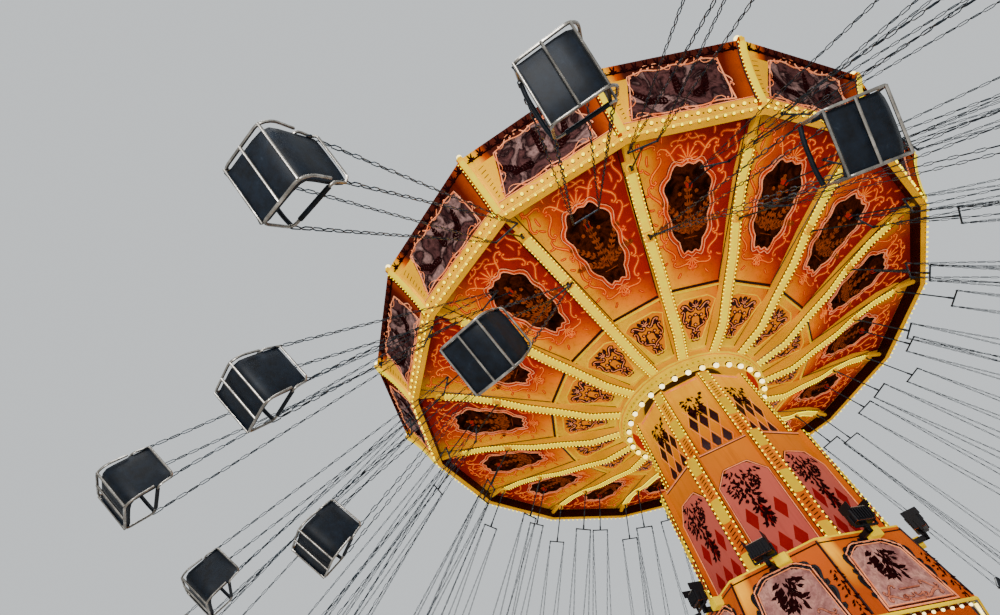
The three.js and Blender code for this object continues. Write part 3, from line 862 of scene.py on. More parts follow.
@functools.cache
def picture_paint(name, shades, strength, scale=3.2):
    # Artist's oil colour under old varnish: soft dark masses with dragged brush strokes, and where a strength
    # is given a painted glow in its own colour.
    made, tree, shader, position = begin(name, 0.5, specular=0.0)
    values = {"Vector": position, "Scale": scale, "Detail": 6.0, "Distortion": 1.4}
    mass = add(tree, "ShaderNodeTexNoise", values)
    stops = [(i / (len(shades) - 1), tone) for i, tone in enumerate(shades)]
    colour = ramp(tree, mass, stops, 0.28, 0.74)
    values = {"Vector": position, "Scale": 22.0, "Detail": 7.0, "Distortion": 0.8}
    stroke = add(tree, "ShaderNodeTexNoise", values)
    light = add(tree, "ShaderNodeValToRGB", {"Fac": stroke}, stops=[(0.35, 0.45), (0.7, 1.0)])
    colour = add(tree, "ShaderNodeMix", {0: 0.8, 6: colour, 7: light}, **MULTIPLY)
    bump = add(tree, "ShaderNodeBump", {"Height": stroke, "Strength": 0.3, "Distance": 0.003})
    feed(tree, shader, {"Base Color": colour, "Normal": bump})
    # Painted glow: the picture's colour as emission, for the lamps' light on it.
    if strength:
        glowing(tree, shader, colour, strength)
    return made


@functools.cache
def stove_enamel(name, main, dirt, chip, strength=0.0, gloss=GLOSS, patch=1.2, metallic=0.0):
    # Stove enamel sprayed on folded steel sheet: even gloss, slight orange peel, rust-dark chips, and where a
    # strength is given a painted glow in its own colour for the bulbs' light on it.
    made, tree, shader, position = begin(name, 0.36, metallic, 0.0 if strength else 0.15)
    colour = weather(tree, shader, position, main, dirt, chip, patch, 70.0, 0.72, gloss, 0.002)
    # Painted glow: the enamel's colour as emission.
    if strength:
        glowing(tree, shader, colour, strength)
    return made


@functools.cache
def lamp_glass(name, core, rim, strength):
    # Pressed lamp glass, frosted inside and lit: the colour deepens from bulb to bulb.
    made, tree, shader, position = begin(name, 0.3, specular=0.0)
    drift = add(tree, "ShaderNodeTexNoise", {"Vector": position, "Scale": 5.0, "Detail": 2.0})
    colour = ramp(tree, drift, [(0.0, rim), (1.0, core)], 0.3, 0.7)
    bump = add(tree, "ShaderNodeBump", {"Height": drift, "Strength": 0.1, "Distance": 0.001})
    feed(tree, shader, {"Base Color": dimmed(tree, colour, 0.3), "Normal": bump})
    glowing(tree, shader, colour, strength)
    return made


@functools.cache
def fascia_boards():
    # Scenic enamel on weatherproof plywood: smoky red-brown picture ground, with painted shade in oxblood
    # near each post and painted lamplight in gold over the spandrel on the side that the lamps reach.
    made, tree, shader, position = begin("Scenic enamel on rounding boards", 0.5, specular=0.0)
    share, _, height = sector(tree, position, 0.03)
    ground = paint("board_violet")
    # Painted lamplight in gold on the side that the lamps reach; painted shade in oxblood before the next
    # post.
    gold_and_lamplight = [(0.05, "#FFC000"), (0.11, "#FFA800"), (0.15, "#C84A00")]
    stops = [*gold_and_lamplight, (0.2, ground), (0.8, ground), (0.88, "#5E1404"), (0.97, "#A84008")]
    colour = ramp(tree, share, stops)
    colour = weather(tree, shader, position, colour, "#1D0806", "#8A4A1A", 1.6, 55.0, 0.7, MATT, 0.003)
    # Painted glow: the boards' colour as emission, weaker across the picture and towards the top.
    beside = ramp(tree, share, [(0.05, 0.5), (0.12, 0.45), (0.17, 0.35), (1.0, 0.4)])
    top = ramp(tree, height, [(0.0, 1.0), (0.6, 0.8), (1.0, 0.4)], BOARD_LOW, BOARD_TOP)
    glowing(tree, shader, dimmed(tree, colour, beside, top), 1.0)
    return made


@functools.cache
def drum_enamel():
    # Two-coat stove enamel on steel sheet, gold at the top and orange at the foot, with a painted glow
    # for the light of the globes above, strongest at the top.
    made, tree, shader, position = begin("Gold to orange stove enamel", 0.4, specular=0.0)
    height = add(tree, "ShaderNodeSeparateXYZ", {0: position}).outputs["Z"]
    stops = [(0.0, paint("drum_orange")), (0.3, "#D07800"), (0.6, "#DA9000"), (1.0, paint("drum_gold"))]
    colour = ramp(tree, height, stops, DRUM_LOW, DRUM_TOP)
    colour = weather(tree, shader, position, colour, "#A03C00", "#6A2A06", 1.2, 70.0, 0.72, SATIN, 0.002)
    # Painted glow of the globes above: strongest at the top of the drum.
    lit = ramp(tree, height, [(0.0, 0.35), (0.5, 0.7), (1.0, 1.0)], DRUM_LOW, DRUM_TOP)
    glowing(tree, shader, dimmed(tree, colour, lit), 1.0)
    return made


@functools.cache
def gelcoat(name, low, high, base, top, dirt, strength):
    # Glass-fibre mouldings with a pigmented gelcoat, polished and slightly chalked by weather, with a painted
    # glow in their own colour where a strength is given.
    made, tree, shader, position = begin(name, 0.42, specular=0.05)
    height = add(tree, "ShaderNodeSeparateXYZ", {0: position}).outputs["Z"]
    colour = ramp(tree, height, [(0.0, base), (1.0, top)], low, high)
    colour = weather(tree, shader, position, colour, dirt, base, 0.8, 40.0, 0.72, SATIN, 0.004)
    glowing(tree, shader, colour, strength)
    return made


@functools.cache
def pedestal_gelcoat():
    # Pigmented gelcoat on glass-fibre mouldings: orange, darker towards the foot, with painted light of the
    # tower's lowest lamp boxes in gold along one side of each upper corner, and a painted glow strongest
    # there.
    made, tree, shader, position = begin("Orange gelcoat on the pedestal", 0.42, specular=0.05)
    share, _, height = sector(tree, position, 0.02, TOWER_SIDES)
    stops = [(0.0, "#8E3008"), (0.8, "#BC4C0C"), (1.0, paint("orange"))]
    ground = ramp(tree, height, stops, 0.4, PEDESTAL_TOP)
    # Painted light of the lowest lamp boxes: gold along one side of each upper corner.
    gold = ramp(tree, share, [(0.0, 0.0), (0.05, 1.0), (0.13, 0.8), (0.2, 0.0)])
    lit = ramp(tree, height, [(0.0, 0.0), (0.7, 1.0)], 3.45, PEDESTAL_TOP)
    gold = dimmed(tree, gold, lit)
    colour = add(tree, "ShaderNodeMix", {0: gold, 6: ground, 7: "#F0A400"}, **MIX)
    colour = weather(tree, shader, position, colour, "#6A2408", "#8A3A10", 0.8, 40.0, 0.72, SATIN, 0.004)
    # Painted glow, strongest where that painted light falls.
    glow = add(tree, "ShaderNodeMix", {0: gold, 6: 0.16, 7: 1.0}, **MIX)
    glowing(tree, shader, dimmed(tree, colour, glow), 1.0)
    return made


@functools.cache
def chain_steel():
    # Zinc-plated round link chain and drawn tube, darkened by grease and handling.
    made, tree, shader, position = begin("Greased zinc-plated steel", 0.5, 0.3, 0.2)
    spangle = add(tree, "ShaderNodeTexNoise", {"Vector": position, "Scale": 14.0, "Detail": 6.0})
    colour = ramp(tree, spangle, [(0.0, "#10161C"), (0.6, "#28323A"), (1.0, "#565F68")], 0.3, 0.75)
    shine = add(tree, "ShaderNodeMapRange", {0: spangle, 1: 0.3, 2: 0.7, 3: 0.5, 4: 0.3})
    feed(tree, shader, {"Base Color": colour, "Roughness": shine})
    return made


@functools.cache
def rail_steel():
    # Bent steel tube, bright nickel plate worn matt where hands and boots rub.
    made, tree, shader, position = begin("Worn nickel-plated tube", 0.28, 0.9)
    values = {"Vector": position, "Scale": 9.0, "Detail": 7.0, "Roughness": 0.65}
    rub = add(tree, "ShaderNodeTexNoise", values)
    colour = ramp(tree, rub, [(0.0, "#5E5B57"), (0.55, "#918C84"), (1.0, "#C8C2B8")], 0.3, 0.72)
    shine = add(tree, "ShaderNodeMapRange", {0: rub, 1: 0.3, 2: 0.7, 3: 0.45, 4: 0.18})
    feed(tree, shader, {"Base Color": colour, "Roughness": shine})
    return made


@functools.cache
def seat_plastic():
    # Rotationally moulded polyethylene, mass-dyed midnight blue and scuffed pale. Its leather-like
    # grain is drawn at 4.5 mm, because the real one is too fine to show.
    made, tree, shader, position = begin("Moulded polyethylene", 0.5, specular=0.15)
    values = {"Vector": position, "Scale": 11.0, "Detail": 9.0, "Roughness": 0.7}
    scuff = add(tree, "ShaderNodeTexNoise", values)
    stops = [(0.0, "#0A0C10"), (0.6, paint("seat_blue")), (1.0, "#2C343E")]
    colour = ramp(tree, scuff, stops, 0.35, 0.8)
    grain = add(tree, "ShaderNodeTexVoronoi", {"Vector": position, "Scale": 220.0})
    bump = add(tree, "ShaderNodeBump", {"Height": grain, "Strength": 0.25, "Distance": 0.001})
    feed(tree, shader, {"Base Color": colour, "Normal": bump})
    return made


@functools.cache
def machined_steel():
    # Turned and hard-chromed mast tube: rings round the tube under an oil film. The rings are drawn
    # 17 mm apart, because real tool marks are too fine to show.
    made, tree, shader, position = begin("Turned mast steel", 0.3, 0.9)
    values = {"Vector": position, "Scale": 18.0, "Distortion": 0.6, "Detail": 3.0}
    rings = add(tree, "ShaderNodeTexWave", values, bands_direction="Z").outputs["Fac"]
    colour = ramp(tree, rings, [(0.0, "#5B6167"), (1.0, "#A5ABB0")])
    oil = add(tree, "ShaderNodeTexNoise", {"Vector": position, "Scale": 3.0, "Detail": 5.0})
    shine = add(tree, "ShaderNodeMapRange", {0: oil, 1: 0.3, 2: 0.7, 3: 0.22, 4: 0.5})
    bump = add(tree, "ShaderNodeBump", {"Height": rings, "Strength": 0.12, "Distance": 0.002})
    feed(tree, shader, {"Base Color": colour, "Roughness": shine, "Normal": bump})
    return made


@functools.cache
def deck_plate():
    # Tread-plate steel, painted warm grey and trodden bright on its raised lozenges, which are
    # about 45 mm by 23 mm.
    made, tree, shader, position = begin("Painted tread plate", 0.5, 0.4)
    values = {"Vector": position, "Rotation": (0, 0, 0.6), "Scale": (22, 44, 22)}
    slant = add(tree, "ShaderNodeMapping", values)
    tread = add(tree, "ShaderNodeTexVoronoi", {"Vector": slant, "Scale": 1.0}, distance="MANHATTAN")
    raised = add(tree, "ShaderNodeValToRGB", {"Fac": tread}, stops=[(0.25, 1.0), (0.4, 0.0)])
    worn = add(tree, "ShaderNodeMix", {0: raised, 6: "#6E675C", 7: "#9A9488"}, **MIX)
    weather(tree, shader, position, worn, "#35302A", "#4A2E1C", 0.8, 60.0, 0.66, (0.4, 0.65), 0.002)
    bump = add(tree, "ShaderNodeBump", {"Height": raised, "Strength": 0.5, "Distance": 0.003})
    feed(tree, shader, {"Normal": bump})
    return made


@functools.cache
def pale_floor():
    # Ground concrete, sealed matt: a pale tone that clouds slightly every few metres.
    made, tree, shader, position = begin("Sealed pale concrete", 0.75)
    cloud = add(tree, "ShaderNodeTexNoise", {"Vector": position, "Scale": 0.25, "Detail": 6.0})
    colour = ramp(tree, cloud, [(0.0, "#D8D6D2"), (1.0, "#E6E4E0")], 0.3, 0.7)
    feed(tree, shader, {"Base Color": colour})
    return made


def rib_enamel():
    # Sprayed on the steel ribs, rim and bands: warm yellow, with a painted glow for the light of the bulbs
    # that it carries.
    return stove_enamel("Yellow stove enamel on steel", paint("rib_yellow"), "#D87400", "#8A3A00", 0.28)


def hub_enamel():
    # Sprayed on hub ring, beads, battens and caps: the brightest gold, with a painted glow for the globes'
    # light on it.
    return stove_enamel("Gold stove enamel on steel", "#F8D000", "#E89C00", "#7A3000", 0.42)


def oxblood_enamel_and_shade():
    # Near-black red for dark lines, ticks and sockets, and a painted shadow round gilt ornament, along the
    # ribs and on the rim's inner face, that sets the gilding off.
    return stove_enamel("Oxblood stove enamel", paint("outline"), "#120200", "#5A2408")


def black_enamel():
    # Heat-proof black on spot lamps, sockets and bolts: no gloss, dusty.
    return stove_enamel("Matt black stove enamel", "#141216", "#2A2622", "#4A3A2C", 0.0, (0.4, 0.6))


def head_enamel():
    # Machine paint on cast and welded steel: blue-grey with oil stains and worn spots.
    shades = ("#4A5058", "#1E1C1A", "#8A5A38")
    return stove_enamel("Grey machine enamel", *shades, gloss=(0.35, 0.55), metallic=0.3)


def scroll_leaf():
    # Laid on the ceiling's carved scrolls: orange gold with red hollows.
    return scroll_gilding("Red-gold leaf on carved scrolls", "#F05A10", paint("scroll_gold"), 0.55)


def frame_leaf():
    # Laid on picture frames and small motifs: pinkish gold.
    return scroll_gilding("Rose-gold leaf on mouldings", "#F07038", paint("rose_gold"), 0.45)


def bright_leaf():
    # Laid on rails, beads and rings beside the bulbs: clear yellow gold.
    return scroll_gilding("Bright gold leaf on mouldings", "#F0B800", "#FFDC00", 0.4)


def scroll_ground():
    # Flat colour behind the scrolls: brushed vermilion, orange where it is rubbed through.
    shades = ("#C83600", "#6A1400", "#E07A00")
    return stove_enamel("Vermilion enamel under carving", *shades, 0.25, MATT, 2.2)


def field_enamel():
    # Flat colour of the arched inner panels: brushed orange, deepened in long streaks.
    shades = ("#E88200", "#B03A00", "#F0A800")
    return stove_enamel("Orange enamel on inner panels", *shades, 0.45, MATT, 2.0)


def ceiling_pictures():
    # Smoked umber ground of the ceiling pictures: brown-black, with red-brown clouds.
    return picture_paint("Umber oil colour on panels", ("#0A0201", "#240A02", "#4A1A04", "#120402"), 0.15)


def picture_leaves():
    # Leaves painted over that ground: russet with darker veins.
    return picture_paint("Russet oil colour on panels", ("#6A2404", "#A04408", "#3A1404"), 0.3, 6.0)


def fascia_pictures():
    # Pictures of the fascia under their varnish: smoke, dusky pink and near-black clouds.
    shades = ("#0C0607", "#5A3836", "#1C0E10", "#94706A", "#30191A")
    return picture_paint("Smoke-violet oil colour on panels", shades, 0.3, 2.0)


def foliage():
    # Leaves, cresting and hanging bunches: almost black, with a reddish cast where light strikes.
    return picture_paint("Bronze-black oil colour on leaves", ("#120406", "#2A0C0C", "#1A080C"), 0.0, 8.0)


def lozenge_maroon():
    # Masked and sprayed diamonds of the drum and shapes of the inner panels: dark wine red.
    return stove_enamel("Maroon enamel lozenges", paint("maroon"), "#160206", "#5A1410")


def lozenge_crimson():
    # Masked and sprayed diamonds of the casing: clear dark red.
    return stove_enamel("Crimson enamel lozenges", paint("crimson"), "#6A0810", "#B82A30", 0.12)


def casing_gelcoat():
    # Pilasters and borders of the casing: orange that lightens towards the drum.
    shades = ("#B84408", "#DC7808", "#7A2804")
    return gelcoat("Orange gelcoat on the casing", CASING_LOW, CASING_TOP, *shades, 0.25)


def salmon_gelcoat():
    # Arched panels of the casing: brick pink at the foot, salmon at the top.
    shades = ("#A8443A", paint("salmon"), "#6A1E1A")
    return gelcoat("Salmon gelcoat panels", CASING_LOW, CASING_TOP, *shades, 0.25)


def pedestal_pictures():
    # Scene painter's colour on the pedestal's panels: chalky dusty pink in soft clouds.
    shades = ("#744C48", paint("dusty_pink"), "#B88274", "#845A56")
    return picture_paint("Dusty pink scenic colour", shades, 0.55, 2.4)


def pedestal_relief():
    # Urns and scrolls on the pedestal: fired-clay red with pink lights.
    return picture_paint("Terracotta scenic colour on relief", ("#A04A30", "#D08064", "#8A3A2C"), 0.3, 5.0)


def roof_gelcoat():
    # Roof mouldings in the open: faded brick red with grey-brown rain streaks.
    shades = (paint("roof_red"), "#A83A22", "#4A1810")
    return gelcoat("Red gelcoat roof panels", ROOF_LOW - 0.05, 11.5, *shades, 0.0)


def strip_glass():
    # Opal acrylic over the tubes of ribs and posts: an even yellow band of light.
    return lamp_glass("Opal acrylic strip", "#FFE400", "#FFD200", 1.1)


def bulb_glass():
    # Large globes: the palest and strongest light.
    return lamp_glass("Frosted bulb glass", paint("lamp"), "#FFE040", 4.0)


def cream_glass():
    # Small bulbs along ribs, rim, fascia and pilasters: warm yellow points.
    return lamp_glass("Cream bulb glass", "#FFEC00", "#FFDC00", 3.0)


def amber_glass():
    # Lamp boxes and side bulbs, dimmed: a deep amber glow.
    return lamp_glass("Amber bulb glass", "#FFD400", "#FFBE00", 0.6)


def lens_glass():
    # Ribbed lenses of the spot lamps, switched off: pale grey with a faint painted glow for a sheen.
    return lamp_glass("Ribbed lens glass", "#E8E4D8", "#B8B4A8", 0.15)


def cast_collar():
    # Cast and painted sockets round the bulbs: dark brown rings.
    return stove_enamel("Cast lamp collars", "#3A1204", "#1A0602", "#8A4A10")


# Lamps
# Sections of a bulb and of its collar, as shares of the bulb's radius, and their sides
LARGE_LAMP = (
    [(0, 0.1), (0.6, 0.1), (1.0, 0.75), (0.74, 1.4), (0, 1.7)],
    [(0, -0.2), (1.25, -0.2), (0.9, 0.35), (0, 0.35)],
    10,
)
SMALL_LAMP = ([(0, 0.1), (0.9, 0.35), (0.9, 1.2), (0, 1.7)], [(0, -0.2), (1.25, 0.0), (0, 0.4)], 6)
# Bulbs below this radius are a few pixels wide in the view
SMALL_BULB = 0.035


def lamps(name, lines, radius, spacing, copies, body, slot, glass, seed):
    """Bulbs along lines of (point, normal), each in a collar, repeated around the axis."""
    bulb, collar, sides = SMALL_LAMP if radius < SMALL_BULB else LARGE_LAMP
    parts = (("bulbs", bulb, 60, glass()), ("collars", collar, None, cast_collar()))
    for label, profile, smooth, material in parts:
        title = f"{name}_{label}"
        bm = bmesh.new()
        lathe(bm, [(r * radius, z * radius) for r, z in profile], sides)
        part = mesh_of(label, bm, smooth)
        made = in_row(title, lines, part, spacing, material, variation=0.08, seed=seed)
        if copies > 1:
            made = around(title, made, copies, material)
        piece(title, made, body, material)


def along(surface, points):
    """An open line of (point, normal) through (u, v) points of a surface."""
    return [surface(u, v) for u, v in points], False


def beading(name, beads, sides, body, material, steps=6):
    """Round beads that run around the axis: (radius, height, size) each."""
    bm = bmesh.new()
    for radius, height, size in beads:
        section = circle(size, steps, radius, height)
        lathe(bm, [*section, section[0]], sides)
    piece(name, mesh_of(name, bm, 50), body, material)


# Surfaces of single members
def rib(u, v):
    """Underside of the first rib: v is the distance from the axis."""
    slope = slope_at(height_at, RIB_UNDERSIDE, v, 0.03)
    return Vector((v, u, height_at(RIB_UNDERSIDE, v))), Vector((slope, 0, -1)).normalized()


def post(u, v):
    """Outer face of the first fascia post: v is the height."""
    slope = slope_at(radius_at, FASCIA_LINE, v, 0.03)
    return Vector((radius_at(FASCIA_LINE, v) + 0.045, u, v)), Vector((1, 0, -slope)).normalized()


def hip(u, v):
    """Ridge of the roof over the first rib: v is the distance from the axis."""
    height = ROOF_LOW + (ROOF_EDGE - v) * ROOF_SLOPE
    return Vector((v, u, height)), Vector((ROOF_SLOPE, 0, 1)).normalized()


def roof_sheet(u, v):
    """Roof of the first sector: u across it, v the distance of its hips from the axis."""
    outward, across = directions(HALF)
    return outward * v * COS + across * u + UP * (ROOF_LOW + (ROOF_EDGE - v) * ROOF_SLOPE), UP


# Operators
class SWING_OT_plinth(bpy.types.Operator):
    """Stepped octagonal plinth of tread plate with nosings and anchor bolts"""

    bl_idname = "swing_ride.plinth"
    bl_label = "Plinth"

    def execute(self, context):
        dress("base_plinth", deck_plate())
        bm = bmesh.new()
        nosing = [(-0.05, -0.002), (-0.05, 0.004), (0.004, 0.004), (0.004, -0.05), (-0.002, -0.05)]
        nosing += [(-0.002, -0.002), nosing[0]]
        for radius, top in ((2.9, 0.18), (2.5, 0.36)):
            lathe(bm, [(radius + r, top + z) for r, z in nosing], TOWER_SIDES)
        piece("plinth_nosings", mesh_of("plinth_nosings", bm), "base", hub_enamel())
        bm = bmesh.new()
        bolt = [(0, -0.002), (0.034, -0.002), (0.034, 0.006), (0.022, 0.008), (0.022, 0.024), (0, 0.027)]
        lathe(bm, bolt, 6)
        line = [(Vector((x, y, 0.36)), UP) for x, y in circle(2.3, TOWER_SIDES)]
        bolts = in_row("plinth_bolts", [(line, True)], mesh_of("bolt", bm), 0.29, black_enamel())
        piece("plinth_bolts", bolts, "base", black_enamel())
        return {"FINISHED"}


class SWING_OT_pedestal(bpy.types.Operator):
    """Tapered pedestal: framed panels, foliage over urns, beaded mouldings and dark carved cresting"""

    bl_idname = "swing_ride.pedestal"
    bl_label = "Pedestal"

    def execute(self, context):
        dress("pedestal", pedestal_gelcoat())
        slot = "pedestal_panels"
        place = (TOWER_SIDES, "base", slot)
        upper = arched(3.20, 3.98, 0.48, 0.40, 0.16, 0.12)
        lower = panel(0.98, 2.94, 0.52, 0.52, 0.1, (2, 0.03), (2, 0.02))
        panels("pedestal_panels", pedestal_face, (upper, lower), 0.008, *place, pedestal_pictures())
        raised = lifted(pedestal_face, 0.007)
        carved("pedestal_frames", pedestal_face, self.frames, *place, frame_leaf(), oxblood_enamel_and_shade())
        carved("pedestal_foliage", raised, self.foliage, *place, foliage())
        carved("pedestal_relief", raised, self.relief, *place, pedestal_relief(), oxblood_enamel_and_shade(), 0.006)
        carved("pedestal_cresting", raised, self.cresting, *place, foliage(), black_enamel(), 0.03)
        carved("pedestal_edges", pedestal_face, self.edges, *place, oxblood_enamel_and_shade())
        beads = ((1.922, 3.13, 0.020), (1.963, 0.64, 0.022), (1.762, PEDESTAL_TOP, 0.014))
        beading("pedestal_beads", beads, TOWER_SIDES, "base", hub_enamel())
        soffit = bmesh.new()
        line = [(1.80, 3.103), (1.80, 3.097), (1.915, 3.119), (1.915, 3.127), (1.80, 3.103)]
        lathe(soffit, line, TOWER_SIDES)
        piece("pedestal_soffit", mesh_of("pedestal_soffit", soffit), "base", oxblood_enamel_and_shade())
        line = [(Vector((x, y, 3.108)), -UP) for x, y in circle(1.862, TOWER_SIDES)]
        lamps("pedestal_soffit", [(line, True)], 0.024, 0.14, 1, "base", slot, bulb_glass, 12)
        return {"FINISHED"}

    @staticmethod
    def frames(pen):
        for inset, half in ((0.0, 0.012), (0.04, 0.007)):
            upper = arched(3.17 + inset, 4.01 - inset, 0.51 - inset, 0.43 - inset, 0.17, 0.12)
            wide = 0.56 - inset
            lower = panel(0.94 + inset, 2.98 - inset, wide, wide, 0.12, (2, 0.03), (2, 0.03))
            for shape in (upper, lower):
                pen.stroke(border(shape, 14, 12), half, 0.02, closed=True, profile=MOULDING)
        for v, inward in ((1.05, 1), (2.86, -1)):
            pen.scroll((0.50, v), (0.30, v + 0.05 * inward), 0.8, -0.8, 0.0, 0.016)
            pen.scroll((0.50, v + 0.06 * inward), (0.44, v + 0.3 * inward), -0.7, 0.7, 0.0, 0.016)

    @staticmethod
    def foliage(pen):
        pen.bunch(0.0, 3.90, 0.36, 0.19, 70, 0.1, 3, 0.35)
        pen.bunch(-0.02, 2.62, 0.7, 0.2, 60, 0.11, 4, 0.5)
        pen.bunch(0.66, 3.78, 0.62, 0.035, 34, 0.05, 6, 0.0)

    @staticmethod
    def relief(pen):
        for base, size in ((3.24, 1.0), (1.25, 1.5)):
            pen.stroke([(-0.1 * size, base), (0, base - 0.01), (0.1 * size, base)], 0.02)
            urn = [(-0.15 * size, base + 0.13 * size), (0.15 * size, base + 0.13 * size)]
            pen.stroke(urn, lambda s: 0.07 * size * math.sin(math.pi * s) + 0.01, 0.03)
            for start, end, first, last, wide in (
                ((0.12 * size, base + 0.05), (0.36 * size, base + 0.02), 0.8, -0.9, 0.018),
                ((0.20 * size, base + 0.16 * size), (0.38 * size, base + 0.12 * size), -0.8, 0.8, 0.014),
                ((0.02, base + 0.06), (0.16 * size, base + 0.02), 0.7, -0.7, 0.012),
            ):
                pen.scroll(start, end, first, last, 0.0, wide * size)

    @staticmethod
    def cresting(pen):
        pen.scroll((0.38, 3.90), (0.24, 3.99), 0.9, -0.5, 0.1, 0.012)
        pen.scroll((0.20, 3.98), (0.06, 4.04), 0.7, -0.6, 0.0, 0.010)
        pen.dot(0, 4.03, 0.022)
        pen.scroll((0.44, 3.86), (0.50, 3.66), -0.7, 0.6, 0.0, 0.010)
        pen.scroll((0.49, 3.58), (0.52, 3.36), -0.6, 0.6, 0.0, 0.008)

    @staticmethod
    def edges(pen):
        for v0, v1, u0, u1 in ((3.17, 4.13, 0.724, 0.672), (0.82, 3.08, 0.682, 0.682)):
            pen.stroke([(u0, v0), (u1, v1)], 0.014, 0.012, both=True)
        pen.stroke([(-0.66, 4.10), (0.66, 4.10)], 0.012, 0.014)


class SWING_OT_spot_lamps(bpy.types.Operator):
    """Black spot lamps over the pedestal's faces, with hoods, cooling fins, lenses and lit brackets"""

    bl_idname = "swing_ride.spot_lamps"
    bl_label = "Spot lamps"

    def execute(self, context):
        body = bmesh.new()
        self.block(body, 1.792, 1.968, -0.158, 0.158, 4.163, 4.358, 0.016)
        self.block(body, 1.822, 1.888, -0.033, 0.033, 4.042, 4.175, 0.006)
        self.block(body, 1.62, 1.888, -0.033, 0.033, 4.042, 4.108, 0.006)
        for i in range(7):
            y = -0.126 + 0.042 * i
            self.block(body, 1.966, 1.99, y - 0.007, y + 0.007, 4.19, 4.33, 0.003)
        for side in (-1, 1):
            self.block(body, 1.86, 1.90, side * 0.172 - 0.01, side * 0.172 + 0.01, 4.12, 4.28, 0.005)
            self.block(body, 1.79, 2.02, side * 0.154 - 0.005, side * 0.154 + 0.005, 4.33, 4.43, 0.003)
        self.block(body, 1.86, 1.90, -0.18, 0.18, 4.115, 4.14, 0.005)
        lens = bmesh.new()
        self.block(lens, 1.81, 1.95, -0.14, 0.14, 4.352, 4.364, 0.004)
        for i in range(9):
            y = -0.125 + 0.031 * i
            self.block(lens, 1.815, 1.945, y - 0.005, y + 0.005, 4.36, 4.372, 0.003)
        bracket = bmesh.new()
        self.block(bracket, 1.625, 1.78, 0.06, 0.26, 4.02, 4.15, 0.012)
        for name, bm, finish in (
            ("housings", body, black_enamel()),
            ("lenses", lens, lens_glass()),
            ("brackets", bracket, hub_enamel()),
        ):
            bm.transform(Matrix.Rotation(TOWER_HALF, 4, "Z"))
            title = f"spot_lamp_{name}"
            ring_piece(title, mesh_of(title, bm), TOWER_SIDES, "base", "steel", finish)
        return {"FINISHED"}

    @staticmethod
    def block(bm, x0, x1, y0, y1, z0, z1, bevel):
        """A box with its edges broken."""
        made = bmesh.ops.create_cube(bm, size=1.0)["verts"]
        middle = Vector(((x0 + x1) / 2, (y0 + y1) / 2, (z0 + z1) / 2))
        bmesh.ops.scale(bm, vec=(x1 - x0, y1 - y0, z1 - z0), verts=made)
        bmesh.ops.translate(bm, vec=middle, verts=made)
        edges = list({edge for vertex in made for edge in vertex.link_edges})
        bmesh.ops.bevel(bm, geom=edges, offset=bevel, segments=1, affect="EDGES")


class SWING_OT_lift_gear(bpy.types.Operator):
    """Mast, its guide and the tilting head inside the tower"""

    bl_idname = "swing_ride.lift_gear"
    bl_label = "Lift gear"

    def execute(self, context):
        dress("mast_guide", head_enamel())
        dress("lift_mast", machined_steel())
        dress("tilt_head", head_enamel())
        return {"FINISHED"}


def lozenge_field(pen, columns, rows, half, tall):
    """Upright lozenges in columns and rows."""
    for u in columns:
        for v in rows:
            pen.lozenge(u, v, half, tall)


def pilasters(distance, low, high, name, slot):
    """Lamp boxes at even heights up the tower's corner pilasters, slanting bars between and edge bulbs."""
    face = wall(distance, TOWER_TURN + TOWER_HALF)
    place = (TOWER_SIDES, "tower", slot)
    shapes = []
    bars = []
    for k in range(5):
        middle = LAMP_BOX_FIRST + LAMP_BOX_PITCH * k
        bottom, top = max(low + 0.02, middle - 0.2), min(high - 0.02, middle + 0.2)
        if top - bottom > 0.1:
            shapes.append(panel(bottom, top, 0.082, 0.082, 0.06))
        bars += [at for at in (middle + 0.26 + 0.06 * i for i in range(7)) if low + 0.04 < at < high - 0.04]
    panels(f"{name}_lamp_boxes", face, shapes, 0.018, *place, amber_glass(), 6, 4)

    def draw(pen):
        for at in bars:
            pen.stroke([(-0.04, at - 0.014), (0.04, at + 0.014)], 0.009, 0.012)
        for shape in shapes:
            (u, v0), (_, v1) = shape(0, 1), shape(1, 1)
            pen.stroke([(u + 0.008, v0), (u + 0.008, v1)], 0.007, 0.02, both=True)
        pen.stroke([(0.119, low), (0.119, high)], 0.010, 0.012, both=True)

    carved(f"{name}_pilaster_bars", face, draw, *place, oxblood_enamel_and_shade())
    lines = [along(face, [(u, low + 0.04), (u, high - 0.03)]) for u in (-0.1, 0.1)]
    lamps(f"{name}_pilaster", lines, sizes().tower_bulb, 0.08, *place, cream_glass, 3)


